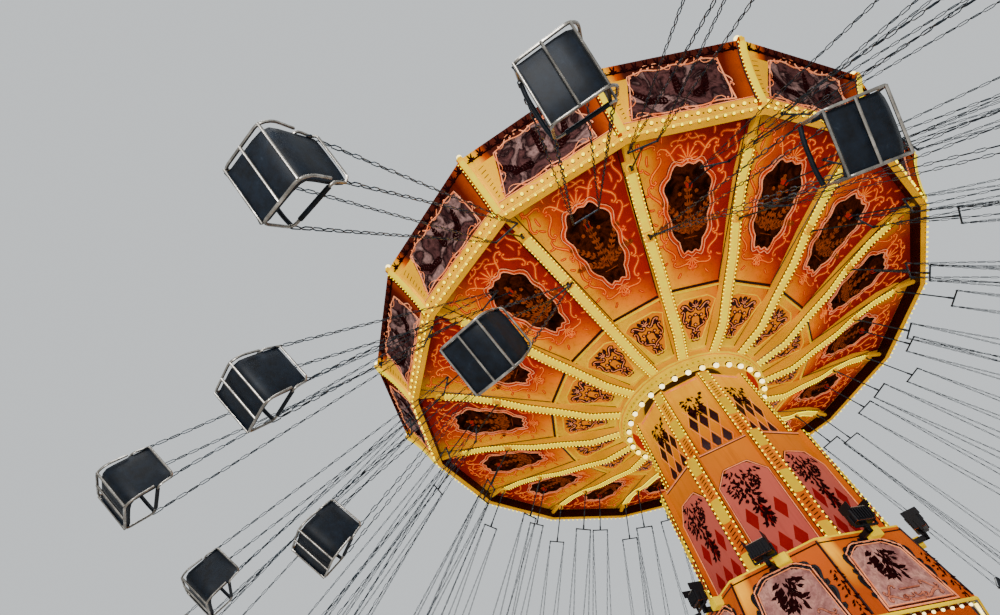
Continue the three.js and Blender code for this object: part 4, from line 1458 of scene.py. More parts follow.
class SWING_OT_casing(bpy.types.Operator):
    """Octagonal tower casing: salmon panels, crimson lozenges, hanging foliage and lamp pilasters"""

    bl_idname = "swing_ride.casing"
    bl_label = "Tower casing"

    def execute(self, context):
        slot = "casing_panels"
        place = (TOWER_SIDES, "tower", slot)
        dress("tower_casing", casing_gelcoat())
        face = wall(CASING_FACE)
        panels("casing_plates", face, [self.shape(0.0)], 0.006, *place, salmon_gelcoat())
        carved("casing_lozenges", lifted(face, 0.006), self.lozenges, *place, lozenge_crimson())
        carved("casing_frames", face, self.frames, *place, frame_leaf(), oxblood_enamel_and_shade(), 0.014)
        carved("casing_foliage", lifted(face, 0.012), self.foliage, *place, foliage())
        pilasters(CASING_CORNER, CASING_LOW, 6.14, "casing", slot)
        return {"FINISHED"}

    @staticmethod
    def shape(inset):
        wide = 0.425 - inset
        return arched(CASING_LOW + 0.01 + inset, 5.70 - inset, wide, wide, 0.22, 0.26)

    @staticmethod
    def lozenges(pen):
        lozenge_field(pen, (-0.235, 0.0, 0.235), (4.36, 4.83), 0.095, 0.18)

    @staticmethod
    def frames(pen):
        pen.stroke(border(SWING_OT_casing.shape(-0.004), 10, 12), 0.009, 0.018, True, MOULDING)
        pen.stroke([(-0.44, 6.11), (0.44, 6.11)], 0.012, 0.02, profile=MOULDING)

    @staticmethod
    def foliage(pen):
        pen.bunch(-0.03, 5.64, 0.95, 0.17, 90, 0.085, 8, 0.75)
        pen.bunch(-0.2, 5.50, 0.35, 0.1, 26, 0.07, 9, 0.6)
        pen.bunch(0.16, 5.58, 0.3, 0.1, 26, 0.07, 10, 0.6)


class SWING_OT_drum(bpy.types.Operator):
    """Gold drum under the canopy: harlequin lozenges in fine lines, foliage, lamp boxes and bulbs"""

    bl_idname = "swing_ride.drum"
    bl_label = "Tower drum"

    def execute(self, context):
        slot = "drum_panels"
        place = (TOWER_SIDES, "tower", slot)
        dress("tower_drum", drum_enamel())
        face = wall(DRUM_FACE)
        carved("drum_lozenges", face, self.lozenges, *place, lozenge_maroon())
        carved("drum_lattice", face, self.lattice, *place, frame_leaf())
        carved("drum_foliage", lifted(face, 0.004), self.foliage, *place, foliage())
        pilasters(DRUM_CORNER, DRUM_LOW, 7.80, "drum", slot)
        return {"FINISHED"}

    @staticmethod
    def lozenges(pen):
        lozenge_field(pen, (-0.21, 0.0, 0.21), (6.36, 6.83), 0.08, 0.185)
        lozenge_field(pen, (-0.105, 0.105), (7.065,), 0.08, 0.185)
        for i in range(9):
            pen.dot(-0.3 + 0.075 * i, 6.19, 0.012, 0.008)

    @staticmethod
    def lattice(pen):
        """Crossing diagonals, and the moulding over them."""
        reach, low, high = 0.315, 6.225, 7.2
        foot, rise, pitch = 6.125, 0.235 / 0.105, 0.47
        k = math.floor((low - reach * rise - foot) / pitch)
        while foot + k * pitch < high + reach * rise:
            middle = foot + k * pitch
            first = max(-reach, (low - middle) / rise)
            last = min(reach, (high - middle) / rise)
            if last - first > 0.02:
                line = [(first, middle + first * rise), (last, middle + last * rise)]
                pen.stroke(line, 0.005, 0.008, both=True)
            k += 1
        pen.stroke([(-0.35, 7.76), (0.35, 7.76)], 0.014, 0.018, profile=MOULDING)

    @staticmethod
    def foliage(pen):
        pen.bunch(-0.02, 7.44, 0.42, 0.2, 60, 0.08, 11, 0.5)


class SWING_OT_hub(bpy.types.Operator):
    """Gold hub ring with its row of globes and the red lining of the turning gap"""

    bl_idname = "swing_ride.hub"
    bl_label = "Hub"

    def execute(self, context):
        slot = "hub_gold"
        dress("canopy_hub", hub_enamel())
        lining = bmesh.new()
        lathe(lining, [(1.497, 7.79), (1.497, 8.25), (1.482, 8.25), (1.482, 7.79), (1.497, 7.79)], 32)
        piece("hub_lining", mesh_of("hub_lining", lining, 30), "canopy", scroll_ground())
        beads = ((1.645, 7.785, 0.022), (1.497, 7.785, 0.018), (1.648, 7.93, 0.016), (1.69, 7.985, 0.02))
        beading("hub_mouldings", beads, 32, "canopy", bright_leaf(), 8)
        ring, globes = 1.57, 32
        under = [(Vector((x, y, 7.778)), -UP) for x, y in circle(ring, 64)]
        # A hair less than an even share of the way round, so that the last globe has its place
        pitch = math.tau * ring / globes * 0.999
        globe = sizes().hub_globe
        lamps("hub_globe", [(under, True)], globe, pitch, 1, "canopy", slot, bulb_glass, 5)
        outer = [(Vector((x, y, 7.86)), Vector((x, y, 0)).normalized()) for x, y in circle(1.645, 64)]
        lamps("hub_side", [(outer, True)], 0.016, 0.12, 1, "canopy", slot, amber_glass, 6)
        return {"FINISHED"}


class SWING_OT_ribs(bpy.types.Operator):
    """Ribs of the canopy: opal lit strips, cream bulbs along their edges, dark sockets at the hangers"""

    bl_idname = "swing_ride.ribs"
    bl_label = "Ribs"

    sockets_at = (ROWS["in"][0], ROWS["out"][0])

    def execute(self, context):
        place = (SIDES, "canopy", "rib_yellow")
        size = sizes()
        dress("canopy_frame", rib_enamel())
        strips = Pen(rib)
        for first, last in ((1.72, 4.27), (4.47, 5.54)):
            count = round((last - first) / 0.12)
            line = [(0.0, first + (last - first) * i / count) for i in range(count + 1)]
            strips.stroke(line, size.rib_strip, 0.03, profile=MOULDING)
        ring_piece("rib_strips", strips.mesh("rib_strips"), *place, strip_glass())
        lines = [along(rib, [(u, 1.74 + 0.13 * i) for i in range(30)]) for u in (-0.094, 0.094)]
        lamps("rib", lines, size.rib_bulb, size.rib_pitch, *place, cream_glass, 2)
        carved("rib_edges", rib, self.edges, *place, oxblood_enamel_and_shade())
        carved("rib_rings", rib, self.rings, *place, bright_leaf())
        carved("rib_sockets", rib, self.sockets, *place, black_enamel())
        return {"FINISHED"}

    @staticmethod
    def edges(pen):
        pen.stroke([(0.112, 1.72 + 0.13 * i) for i in range(31)], 0.007, 0.014, both=True)

    @staticmethod
    def rings(pen):
        for v in SWING_OT_ribs.sockets_at:
            pen.stroke(circle(0.062, 12, 0.0, v), 0.012, 0.02, closed=True, profile=MOULDING)

    @staticmethod
    def sockets(pen):
        for v in SWING_OT_ribs.sockets_at:
            pen.dot(0.0, v, 0.05, 0.012)


class SWING_OT_ceiling(bpy.types.Operator):
    """Painted ceiling boards: framed pictures, gilt scrollwork and rails between sixteen ribs"""

    bl_idname = "swing_ride.ceiling"
    bl_label = "Ceiling"

    # Corner, sides and ends of the wavy picture frames
    wavy = (0.24, (3, 0.05), (3, 0.03))

    def execute(self, context):
        place = (SIDES, "canopy", "ceiling_boards")
        dress("ceiling", ceiling_plywood())
        ground = panel(3.70, 5.44, 0.37, 0.53, *self.wavy)
        picture = panel(3.80, 5.34, 0.30, 0.46, *self.wavy)
        inner = arched(1.98, 2.88, 0.13, 0.40, 0.15, 0.12)
        panels("ceiling_grounds", ceiling, [ground], 0.010, *place, scroll_ground())
        panels("ceiling_fields", ceiling, [inner], 0.008, *place, field_enamel(), 10, 8)
        panels("ceiling_pictures", ceiling, [picture], 0.016, *place, ceiling_pictures(), 16, 12)
        carved("ceiling_picture_leaves", lifted(ceiling, 0.015), self.leaves, *place, picture_leaves())
        carved("ceiling_scrolls", ceiling, self.scrolls, *place, scroll_leaf(), scroll_ground(), 0.018)
        carved("ceiling_clusters", lifted(ceiling, 0.007), self.clusters, *place, lozenge_maroon())
        low = lifted(ceiling, 0.009)
        carved("ceiling_motifs", low, self.motifs, *place, frame_leaf(), oxblood_enamel_and_shade(), 0.026)
        carved("ceiling_rims", ceiling, self.rims, *place, frame_leaf(), oxblood_enamel_and_shade(), 0.010)
        carved("ceiling_rails", ceiling, self.rails, *place, bright_leaf())
        carved("ceiling_joints", ceiling, self.joints, *place, oxblood_enamel_and_shade())
        return {"FINISHED"}

    @staticmethod
    def leaves(pen):
        pen.stroke([(-0.13, 4.04), (0.13, 4.04)], lambda s: 0.06 * math.sin(math.pi * s) + 0.01)
        for angle, bend, reach in ((1.57, 0.0, 0.9), (1.2, -0.5, 0.75), (0.8, -0.8, 0.55)):
            pen.spray(0.02, 4.1, angle, reach, 6, 0.03, bend)
        for u, v in ((0.0, 5.1), (0.16, 4.85), (0.24, 4.5)):
            pen.dot(u, v, 0.045, 0.012, True)

    @staticmethod
    def scrolls(pen):
        pen.scroll((0.08, 5.44), (0.52, 5.62), 0.9, -0.9, 0.1, 0.019)
        pen.scroll((0.56, 5.56), (0.60, 5.14), 0.9, -0.8, -0.1, 0.018)
        pen.scroll((0.66, 5.06), (0.56, 4.62), -0.9, 0.9, 0.0, 0.017)
        pen.scroll((0.56, 4.54), (0.46, 4.10), 0.9, -0.9, 0.0, 0.017)
        pen.scroll((0.48, 4.02), (0.38, 3.70), -0.8, 0.8, 0.0, 0.016)
        pen.scroll((0.34, 3.62), (0.06, 3.48), -0.9, 0.9, 0.0, 0.016)
        pen.scroll((0.40, 5.60), (0.14, 5.66), -0.8, 0.8, 0.0, 0.014)
        pen.scroll((0.30, 5.72), (0.04, 5.86), 0.8, -0.8, 0.0, 0.014)
        pen.scroll((0.62, 5.72), (0.90, 5.84), -0.8, 0.9, 0.0, 0.015)
        pen.scroll((0.94, 5.76), (0.84, 5.40), 0.8, -0.6, 0.0, 0.014)
        pen.fan(0.0, 5.42, math.pi / 2, 1.2, 0.30, 7, 0.016)
        pen.fan(0.0, 3.66, -math.pi / 2, 1.2, 0.24, 7, 0.014)
        for u, v, angle, length in (
            (0.74, 5.44, 1.2, 0.2), (0.70, 5.30, 0.4, 0.14), (0.70, 4.94, -0.4, 0.14),
            (0.64, 4.66, -0.2, 0.12), (0.60, 4.36, 0.3, 0.11), (0.54, 3.98, -0.3, 0.11),
            (0.48, 3.66, -0.7, 0.12), (0.24, 3.42, -1.2, 0.12), (0.20, 5.74, 1.9, 0.16),
            (0.48, 5.78, 1.3, 0.14), (0.60, 5.92, 0.4, 0.14),
        ):
            pen.leaf(u, v, angle, length, 0.013, 0.6)

    @staticmethod
    def clusters(pen):
        for u, v, angle, length in (
            (0.0, 2.74, 1.57, 0.12), (0.06, 2.70, 0.9, 0.16), (0.15, 2.64, 0.2, 0.15),
            (0.20, 2.54, -1.2, 0.15), (0.05, 2.60, 0.3, 0.13), (0.12, 2.42, -1.8, 0.16),
            (0.06, 2.22, -2.0, 0.13), (0.02, 2.10, -1.6, 0.11),
        ):
            pen.leaf(u, v, angle, length, 0.05, 0.5)
        angles = (-0.4, 0.4, 1.2, 1.94, 2.74, 3.54)
        pen.stroke([(0.10 * math.cos(a), 2.42 + 0.10 * math.sin(a)) for a in angles], 0.022, 0.01)

    @staticmethod
    def motifs(pen):
        pen.scroll((0.05, 2.66), (0.26, 2.72), 0.9, -0.9, 0.0, 0.016)
        pen.scroll((0.28, 2.62), (0.20, 2.40), 0.8, -0.8, 0.0, 0.015)
        pen.scroll((0.16, 2.34), (0.05, 2.16), -0.8, 0.8, 0.0, 0.014)
        pen.scroll((0.08, 2.10), (0.02, 1.95), 0.6, -0.6, 0.0, 0.012)
        pen.fan(0.0, 2.70, math.pi / 2, 1.1, 0.13, 5, 0.015)
        for u, v in ((0.12, 2.50), (0.0, 2.52), (0.0, 2.30)):
            pen.dot(u, v, 0.026, 0.014, True)

    @staticmethod
    def rims(pen):
        for inset, half in ((0.0, 0.014), (-0.065, 0.009)):
            low, high = 0.315 - inset, 0.475 - inset
            shape = panel(3.78 + inset, 5.36 - inset, low, high, *SWING_OT_ceiling.wavy)
            pen.stroke(border(shape, 17, 17), half, 0.028, True, MOULDING)

    @staticmethod
    def rails(pen):
        arch = arched(1.965, 2.895, 0.14, 0.415, 0.15, 0.12)
        pen.stroke(border(arch, 10, 10), 0.010, 0.02, True, MOULDING)
        for v, half in ((3.06, 0.02), (6.12, 0.012), (1.735, 0.018)):
            edge = v * TAN - 0.125
            pen.stroke([(-edge, v), (edge, v)], half, 0.03, profile=MOULDING)

    @staticmethod
    def joints(pen):
        # Dark joint line at the panel joint; the dark lines beside the rim and along each rib are painted
        # shade.
        for v, half in ((PANEL_JOINT, 0.03), (6.075, 0.026)):
            edge = v * TAN - 0.125
            pen.stroke([(-edge, v), (edge, v)], half, 0.012, profile=MOULDING)
        for v0, v1 in ((3.16, 6.05), (1.76, 3.04)):
            line = [(v0 * TAN - 0.13, v0), (v1 * TAN - 0.13, v1)]
            pen.stroke(line, 0.010, 0.012, both=True)


class SWING_OT_rim(bpy.types.Operator):
    """Bulbs along the lower edge of the canopy"""

    bl_idname = "swing_ride.rim"
    bl_label = "Rim"

    def execute(self, context):
        slot = "rib_yellow"
        size = sizes()
        line = []
        for x, y in circle(1.0, SIDES):
            out = Vector((x, y, 0))
            line.append((out * RIM_RADIUS + UP * (RIM_LOW + 0.006), (out - UP).normalized()))
        lamps("rim", [(line, True)], size.rim_bulb, size.rim_pitch, 1, "canopy", slot, cream_glass, 7)
        beads = ((RIM_RADIUS + 0.002, RIM_LOW + 0.03, 0.010), (RIM_RADIUS + 0.002, 9.05, 0.014))
        beading("rim_beads", beads, SIDES, "canopy", bright_leaf())
        # Near-black lining on the rim's inner face: painted shade for that face in shadow.
        inside = RIM_RADIUS - 0.12
        lining = bmesh.new()
        profile = [(inside + 0.001, 8.966), (inside + 0.001, 9.222)]
        profile += [(inside - 0.008, 9.222), (inside - 0.008, 8.966), profile[0]]
        lathe(lining, profile, SIDES)
        piece("rim_lining", mesh_of("rim_lining", lining), "canopy", oxblood_enamel_and_shade())
        return {"FINISHED"}


class SWING_OT_fascia(bpy.types.Operator):
    """Outward-leaning fascia boards: dark pictures, gold spandrels, frames and cresting"""

    bl_idname = "swing_ride.fascia"
    bl_label = "Fascia"

    def execute(self, context):
        place = (SIDES, "canopy", "fascia_boards")
        dress("fascia", fascia_boards())
        band = panel(9.07, 9.262, 1.14, 1.17, 0.02)
        panels("fascia_band", fascia, [band], 0.008, *place, rib_enamel(), 3, 8)
        panels("fascia_spandrels", fascia, [self.spandrel], 0.010, *place, rib_enamel(), 8, 3)
        panels("fascia_pictures", fascia, [self.picture(0.0)], 0.008, *place, fascia_pictures(), 12, 12)
        carved("fascia_frames", fascia, self.frames, *place, frame_leaf(), oxblood_enamel_and_shade())
        carved("fascia_ticks", lifted(fascia, 0.009), self.ticks, *place, oxblood_enamel_and_shade())
        carved("fascia_foliage", lifted(fascia, 0.007), self.foliage, *place, foliage())
        carved("fascia_cresting", fascia, self.cresting, *place, foliage())
        line = along(lifted(fascia, 0.008), [(-1.12, 9.155), (1.12, 9.155)])
        lamps("fascia_band", [line], 0.034, 0.203, *place, cream_glass, 9)
        return {"FINISHED"}

    @staticmethod
    def spandrel_edge(v):
        """Left edge of the gold spandrel beside a post."""
        return 0.10 - radius_at(FASCIA_LINE, v) * 0.195

    @staticmethod
    def spandrel(s, t):
        v = 9.27 + 0.75 * s
        return SWING_OT_fascia.spandrel_edge(v) + (t + 1) / 2 * (0.10 + 0.34 * s), v

    @staticmethod
    def picture(inset):
        def shape(s, t):
            left, right = -0.97 + 0.23 * s + inset, 0.85 - inset
            wave = 0.018 * math.cos(3 * math.pi * t)
            height = 9.335 + inset + (0.72 - 2 * inset + wave) * s + wave * (1 - s)
            return left + (right - left) * (t + 1) / 2, height

        return shape

    @staticmethod
    def frames(pen):
        pen.stroke(border(SWING_OT_fascia.picture(-0.012), 10, 18), 0.013, 0.022, True, MOULDING)
        pen.stroke([(-1.15, 9.272), (1.15, 9.272)], 0.009, 0.018, profile=MOULDING)
        pen.scroll((-0.14, 9.30), (0.14, 9.30), -0.9, 0.9, 0.0, 0.016, both=False)
        pen.fan(0.0, 9.33, math.pi / 2, 1.1, 0.1, 5, 0.012)
        for start, end, first, last, bow in (
            ((0.74, 9.36), (0.94, 9.56), 0.9, -0.8, 0.1),
            ((0.92, 9.62), (0.86, 9.90), 0.8, -0.9, 0.0),
            ((0.84, 9.98), (0.60, 10.10), 0.9, -0.8, 0.0),
            ((-0.98, 9.40), (-0.84, 9.68), -0.8, 0.8, 0.0),
            ((-0.84, 9.74), (-0.74, 10.02), 0.8, -0.8, 0.0),
            ((-0.66, 10.08), (-0.40, 10.10), 0.8, -0.8, 0.0),
            ((0.46, 10.09), (0.16, 10.11), 0.8, -0.8, 0.0),
            ((-0.30, 10.11), (-0.02, 10.09), -0.8, 0.8, 0.0),
            ((0.22, 9.31), (0.66, 9.33), 0.7, -0.7, 0.0),
            ((-0.88, 9.33), (-0.30, 9.31), -0.7, 0.7, 0.0),
        ):
            pen.scroll(start, end, first, last, bow, 0.018, both=False)

    @staticmethod
    def ticks(pen):
        for i in range(11):
            pen.dot(-1.0175 + 0.2035 * i, 9.157, 0.018, 0.01)
        for i in range(8):
            v = 9.36 + 0.085 * i
            left = SWING_OT_fascia.spandrel_edge(v)
            pen.stroke([(left + 0.05, v), (left + 0.09 + 0.012 * i, v + 0.02)], 0.010, 0.008)

    @staticmethod
    def foliage(pen):
        for u, angle in ((0.15, 0.3), (0.36, 0.9), (-0.2, 2.8), (-0.5, 2.2)):
            pen.spray(u, 9.50, angle, 0.40, 6, 0.03, 0.4, both=False)
        pen.spray(0.0, 9.52, math.pi / 2, 0.42, 6, 0.032, 0.0, both=False)

    @staticmethod
    def cresting(pen):
        for i in range(13):
            pen.fan(-1.2 + 0.2 * i, 10.13, math.pi / 2, 0.9, 0.13, 4, 0.022)
        pen.stroke([(-1.30, 10.13), (1.30, 10.13)], 0.014, 0.024, profile=MOULDING)


class SWING_OT_posts(bpy.types.Operator):
    """Lit posts at the corners of the fascia, each with a row of small bulbs and a globe on top"""

    bl_idname = "swing_ride.posts"
    bl_label = "Fascia posts"

    def execute(self, context):
        place = (SIDES, "canopy", "fascia_boards")
        heights = [9.08 + 0.09 * i for i in range(13)]
        strip = Pen(post)
        section = ((-1, -0.1), (-0.8, 0.6), (0, 1), (0.8, 0.6), (1, -0.1))
        strip.stroke([(0.0, v) for v in heights], 0.06, 0.05, profile=section)
        ring_piece("post_tubes", strip.mesh("post_tubes", 50), *place, strip_glass())
        # Dark strip beside each tube: painted shade on the post's shadow side.
        shaded_sides = Pen(post)
        shaded_sides.stroke([(-0.11, v) for v in heights], 0.010, 0.014, profile=MOULDING)
        ring_piece("post_cheeks", shaded_sides.mesh("post_cheeks"), *place, oxblood_enamel_and_shade())
        lines = [along(post, [(-0.083, v) for v in heights])]
        lamps("post", lines, 0.014, 0.08, *place, cream_glass, 11)
        cap = bmesh.new()
        profile = [(0, 0), (0.05, 0), (0.06, 0.02), (0.03, 0.05), (0.04, 0.06), (0, 0.07)]
        lathe(cap, profile, 8, Vector((7.1, 0, 10.23)))
        ring_piece("post_caps", mesh_of("post_caps", cap, 40), *place, hub_enamel())
        globe = bmesh.new()
        radius = sizes().post_bulb
        turns = [math.pi * i / 6 for i in range(7)]
        profile = [(radius * math.sin(a), radius * (1 - math.cos(a))) for a in turns]
        lathe(globe, profile, 10, Vector((7.1, 0, 10.295)))
        ring_piece("post_globes", mesh_of("post_globes", globe, 60), *place, bulb_glass())
        return {"FINISHED"}


class SWING_OT_roof(bpy.types.Operator):
    """Glass-fibre roof panels with hip battens, a moulded crown and a finial"""

    bl_idname = "swing_ride.roof"
    bl_label = "Roof"

    def execute(self, context):
        slot = "roof_panels"
        place = (SIDES, "canopy", slot)
        dress("roof", roof_gelcoat())
        battens = Pen(hip)
        battens.stroke([(0.0, 0.93 + 0.64 * i) for i in range(10)], 0.045, 0.03, profile=MOULDING)
        ring_piece("roof_battens", battens.mesh("roof_battens"), *place, hub_enamel())
        seams = Pen(roof_sheet)
        for share in (-0.5, 0.0, 0.5):
            seams.stroke([(share * v * TAN * COS, v) for v in (1.1, 3.0, 5.0, 6.66)], 0.012, 0.012)
        for v in (2.6, 4.6):
            edge = v * TAN * COS
            seams.stroke([(-edge, v), (edge, v)], 0.014, 0.012)
        ring_piece("roof_seams", seams.mesh("roof_seams"), *place, roof_gelcoat())
        crown = bmesh.new()
        for radius, height in ((0.91, 11.05), (1.0, 11.48), (0.63, 11.68)):
            bead = circle(0.03, 6, radius, height)
            lathe(crown, [*bead, bead[0]], SIDES)
        finial = [(0, 11.80), (0.13, 11.82), (0.16, 11.86), (0.09, 11.90), (0.07, 11.93)]
        finial += [(0.15, 11.98), (0.165, 12.03), (0.14, 12.09), (0.06, 12.125), (0, 12.149)]
        lathe(crown, finial, 20)
        piece("roof_crown", mesh_of("roof_crown", crown, 50), "canopy", hub_enamel())
        return {"FINISHED"}


class SWING_OT_chairs(bpy.types.Operator):
    """Chairs in flight: hanger rod and spreader, four link chains, bent-tube frame and moulded seat"""

    bl_idname = "swing_ride.chairs"
    bl_label = "Chairs"

    def execute(self, context):
        for row, (radius, turn, height, drop, flight) in ROWS.items():
            parts = (
                ("hanger", self.hanger(-drop), chain_steel()),
                ("frame", self.rails(-drop), rail_steel()),
                ("seat", self.seat(-drop), seat_plastic()),
            )
            for i in range(SIDES):
                azimuth = (i + turn) * STEP
                node = f"chair_{row}_{i + 1:02d}"
                pivot = Vector((radius * math.cos(azimuth), radius * math.sin(azimuth), height))
                place = (
                    Matrix.Translation(pivot)
                    @ Matrix.Rotation(azimuth - math.pi / 2, 4, "Z")
                    @ Matrix.Rotation(math.radians(flight), 4, "X")
                )
                for label, template, material in parts:
                    mesh = template.copy()
                    mesh.transform(place)
                    stands_for = (node,) if label == "hanger" else ()
                    piece(f"{node}_{label}", mesh, node, material, stands_for)
        return {"FINISHED"}

    @staticmethod
    def hanger(seat):
        bm = bmesh.new()
        eye = [(0, -0.0305), (0.026, -0.0305), (0.0375, -0.018)]
        lathe(bm, eye + [(r, -z) for r, z in reversed(eye)], 12)
        bm.transform(Matrix.Rotation(math.pi / 2, 4, "Y"))
        low = -ROD_LENGTH
        rod = [(0, -0.02), (0.022, -0.03), (0.022, -0.09), (0.016, -0.11), (0.016, low + 0.12)]
        rod += [(0.024, low + 0.10), (0.024, low + 0.01), (0, low + 0.01)]
        lathe(bm, rod, 8)
        bar = [Vector((x, 0, low)) for x in (-BAR_HALF - 0.012, -0.1, 0.1, BAR_HALF + 0.012)]
        tube(bm, bar, 0.016, 8)
        for side in (-1, 1):
            x = side * BAR_HALF
            eye = [Vector((x, 0.026 * s, low - 0.022 + 0.034 * c)) for c, s in circle(1.0, 8)]
            tube(bm, eye, 0.006, 4, closed=True)
        size = sizes()
        reach, wide = size.link_pitch / 2, size.link_pitch * 0.12
        half = [(-reach - 0.002, 0.0), (-reach * 0.6, wide), (reach * 0.6, wide)]
        ring = [Vector((x, y, 0)) for x, y in half + [(-x, -y) for x, y in half]]
        link = bmesh.new()
        tube(link, ring, size.link_wire, 3, closed=True)
        lines = []
        for side in (-1, 1):
            for top, foot in (
                (Vector((BAR_HALF, 0, low - 0.04)), Vector((0.2, side * ARM_SIDE, seat + ARM_HEIGHT + 0.02))),
                (Vector((-BAR_HALF, 0, low - 0.04)), Vector((-0.252, side * 0.206, seat + 0.375))),
            ):
                face = (foot - top).cross(Vector((0, 1, 0))).normalized()
                lines.append(([(top, face), (foot, face)], False))
        link = mesh_of("link", link, 50)
        chain = in_row("chain", lines, link, size.link_pitch, chain_steel(), quarters=1.0)
        return joined("hanger", [mesh_of("hanger", bm, 50), chain])

    @staticmethod
    def rails(seat):
        bm = bmesh.new()
        radius = sizes().chair_tube
        arm = seat + ARM_HEIGHT
        for side in (-1, 1):
            y = side * ARM_SIDE
            loop = [
                Vector((-0.252, side * 0.215, seat + 0.362)),
                Vector((-0.25, y, arm)),
                Vector((0.2, y, arm)),
                Vector((0.2, y, seat - 0.03)),
                Vector((-0.2, y, seat - 0.045)),
                Vector((-0.255, y, seat + 0.03)),
                Vector((-0.262, side * 0.222, arm - 0.03)),
            ]
            tube(bm, rounded(loop, 0.05), radius, 6)
        for x, z in ((0.2, seat - 0.03), (-0.2, seat - 0.045), (0.0, seat - 0.045)):
            tube(bm, [Vector((x, -ARM_SIDE, z)), Vector((x, ARM_SIDE, z))], radius * 0.9, 6)
        back = [
            Vector((-0.252, -0.215, seat + 0.36)),
            Vector((-0.288, -0.19, seat + 0.372)),
            Vector((-0.288, 0.19, seat + 0.372)),
            Vector((-0.252, 0.215, seat + 0.36)),
        ]
        tube(bm, rounded(back, 0.03), radius * 0.9, 6)
        return mesh_of("frame", bm, 60)

    @staticmethod
    def seat(seat):
        """Moulded shell from the front edge up the backrest, the front bar and the arm grips."""
        bm = bmesh.new()
        line = [(0.205, -0.030), (0.198, -0.006), (0.16, 0.0), (0.05, -0.004), (-0.08, -0.006)]
        line += [(-0.16, 0.002), (-0.203, 0.03), (-0.215, 0.10), (-0.222, 0.2), (-0.232, 0.3)]
        line += [(-0.242, 0.365), (-0.252, 0.378)]
        grids = []
        for thick in (0.0, 0.024):
            grid = []
            for i, (x, z) in enumerate(line):
                before = line[max(i - 1, 0)]
                after = line[min(i + 1, len(line) - 1)]
                dx, dz = after[0] - before[0], after[1] - before[1]
                size = math.hypot(dx, dz)
                narrow = 0.219 * (1 - 0.12 * max(0.0, (i - 8) / 3) ** 2)
                across = []
                for j in range(9):
                    t = j / 4 - 1
                    depth = thick - 0.018 * t**4
                    point = (x - dz / size * depth, t * narrow, seat + z + dx / size * depth)
                    across.append(bm.verts.new(point))
                grid.append(across)
            grids.append(grid)
        shell(bm, *grids)
        arm = seat + ARM_HEIGHT
        corners = ((0.2, -0.222), (0.215, -0.12), (0.215, 0.12), (0.2, 0.222))
        tube(bm, rounded([Vector((x, y, arm)) for x, y in corners], 0.05), 0.017, 8)
        for side in (-1, 1):
            grip = [Vector((x, side * ARM_SIDE, arm + 0.001)) for x in (-0.2, -0.05, 0.12)]
            tube(bm, grip, 0.018, 8)
        return mesh_of("seat", bm, 50)


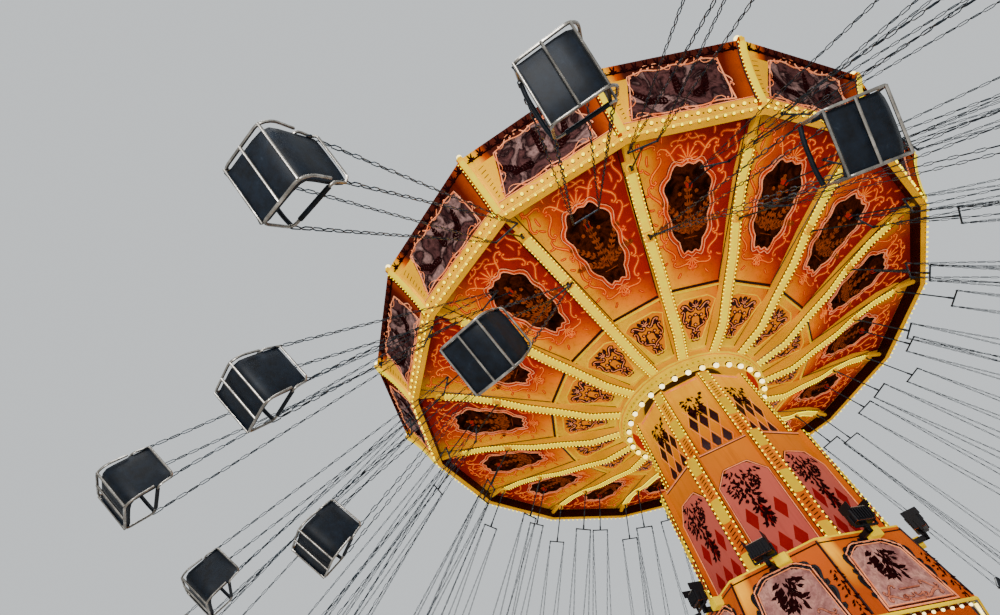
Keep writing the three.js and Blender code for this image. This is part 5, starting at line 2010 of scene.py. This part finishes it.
class SWING_OT_stage(bpy.types.Operator):
    """Pale floor, soft studio light and the camera"""

    bl_idname = "swing_ride.stage"
    bl_label = "Stage"

    def execute(self, context):
        scene = context.scene
        bm = bmesh.new()
        bmesh.ops.create_grid(bm, x_segments=8, y_segments=8, size=60)
        bmesh.ops.translate(bm, vec=(0, 0, -0.001), verts=bm.verts)
        floor = bpy.data.objects.new("floor", bpy.data.meshes.new("floor"))
        bm.to_mesh(floor.data)
        bm.free()
        floor.data.materials.append(pale_floor())
        scene.collection.objects.link(floor)

        world = bpy.data.worlds.new("Studio")
        world.use_nodes = True
        world.node_tree.nodes["Background"].inputs["Color"].default_value = linear("#E4E9EC")
        world.node_tree.nodes["Background"].inputs["Strength"].default_value = 0.95
        scene.world = world
        off_floor = bpy.data.collections.new("off_floor")
        off_floor.objects.link(floor)
        off_floor.collection_objects[0].light_linking.link_state = "EXCLUDE"
        for name, place, aim, size, power in (
            ("key", (16, 10, 18), (0, 0, 8), 10, 2200),
            ("fill", (13, 9, 2.4), (2, 1, 9.2), 3.2, 900),
            ("rim", (-14, -12, 16), (0, 0, 8), 10, 1400),
        ):
            light = bpy.data.lights.new(name, "AREA")
            light.shape = "DISK"
            light.size = size
            light.energy = power
            lamp = bpy.data.objects.new(name, light)
            lamp.location = place
            lamp.rotation_euler = (Vector(aim) - Vector(place)).to_track_quat("-Z", "Y").to_euler()
            lamp.visible_camera = False
            # The fill stands for the bulbs' light on the boards, so it leaves the floor alone
            if name == "fill":
                lamp.light_linking.receiver_collection = off_floor
            scene.collection.objects.link(lamp)

        # Place, direction and lens were worked out from the sixteen corners of the rim
        data = bpy.data.cameras.new("camera")
        data.lens = 16.67
        data.sensor_width = 36
        data.sensor_fit = "HORIZONTAL"
        data.clip_start = 0.05
        data.clip_end = 200
        right = Vector((-0.89512775, 0.41435551, -0.16448653))
        down = Vector((-0.25205641, -0.77471663, -0.57989802))
        ahead = Vector((-0.36771439, -0.47762292, 0.79791132))
        place = Matrix((right, -down, -ahead)).transposed().to_4x4()
        place.translation = Vector((8.3753, 5.0255, 1.5962))
        camera = bpy.data.objects.new("camera", data)
        camera.matrix_world = place
        scene.collection.objects.link(camera)
        scene.camera = camera
        return {"FINISHED"}


OPERATORS = (
    SWING_OT_plinth,
    SWING_OT_pedestal,
    SWING_OT_spot_lamps,
    SWING_OT_lift_gear,
    SWING_OT_casing,
    SWING_OT_drum,
    SWING_OT_hub,
    SWING_OT_ribs,
    SWING_OT_ceiling,
    SWING_OT_rim,
    SWING_OT_fascia,
    SWING_OT_posts,
    SWING_OT_roof,
    SWING_OT_chairs,
    SWING_OT_stage,
)


class SWING_PT_ride(bpy.types.Panel):
    """Pieces of the ride with their sizes and colours"""

    bl_idname = "SWING_PT_ride"
    bl_label = "Chair Swing Ride"
    bl_space_type = "VIEW_3D"
    bl_region_type = "UI"
    bl_category = "Swing Ride"

    def draw(self, context):
        for operator in OPERATORS:
            self.layout.operator(operator.bl_idname)
        for settings in (context.scene.swing_ride_sizes, context.scene.swing_ride_colours):
            box = self.layout.box()
            for name in settings.bl_rna.properties.keys():
                if name not in ("rna_type", "name"):
                    box.prop(settings, name)


CLASSES = (SwingRideSizes, SwingRideColours, *OPERATORS, SWING_PT_ride)


def register():
    for made in CLASSES:
        bpy.utils.register_class(made)
    bpy.types.Scene.swing_ride_sizes = bpy.props.PointerProperty(type=SwingRideSizes)
    bpy.types.Scene.swing_ride_colours = bpy.props.PointerProperty(type=SwingRideColours)


def unregister():
    del bpy.types.Scene.swing_ride_colours
    del bpy.types.Scene.swing_ride_sizes
    for made in reversed(CLASSES):
        bpy.utils.unregister_class(made)


def main():
    register()
    for operator in OPERATORS:
        getattr(bpy.ops.swing_ride, operator.bl_idname.split(".")[1])()
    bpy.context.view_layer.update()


if __name__ == "__main__":
    main()
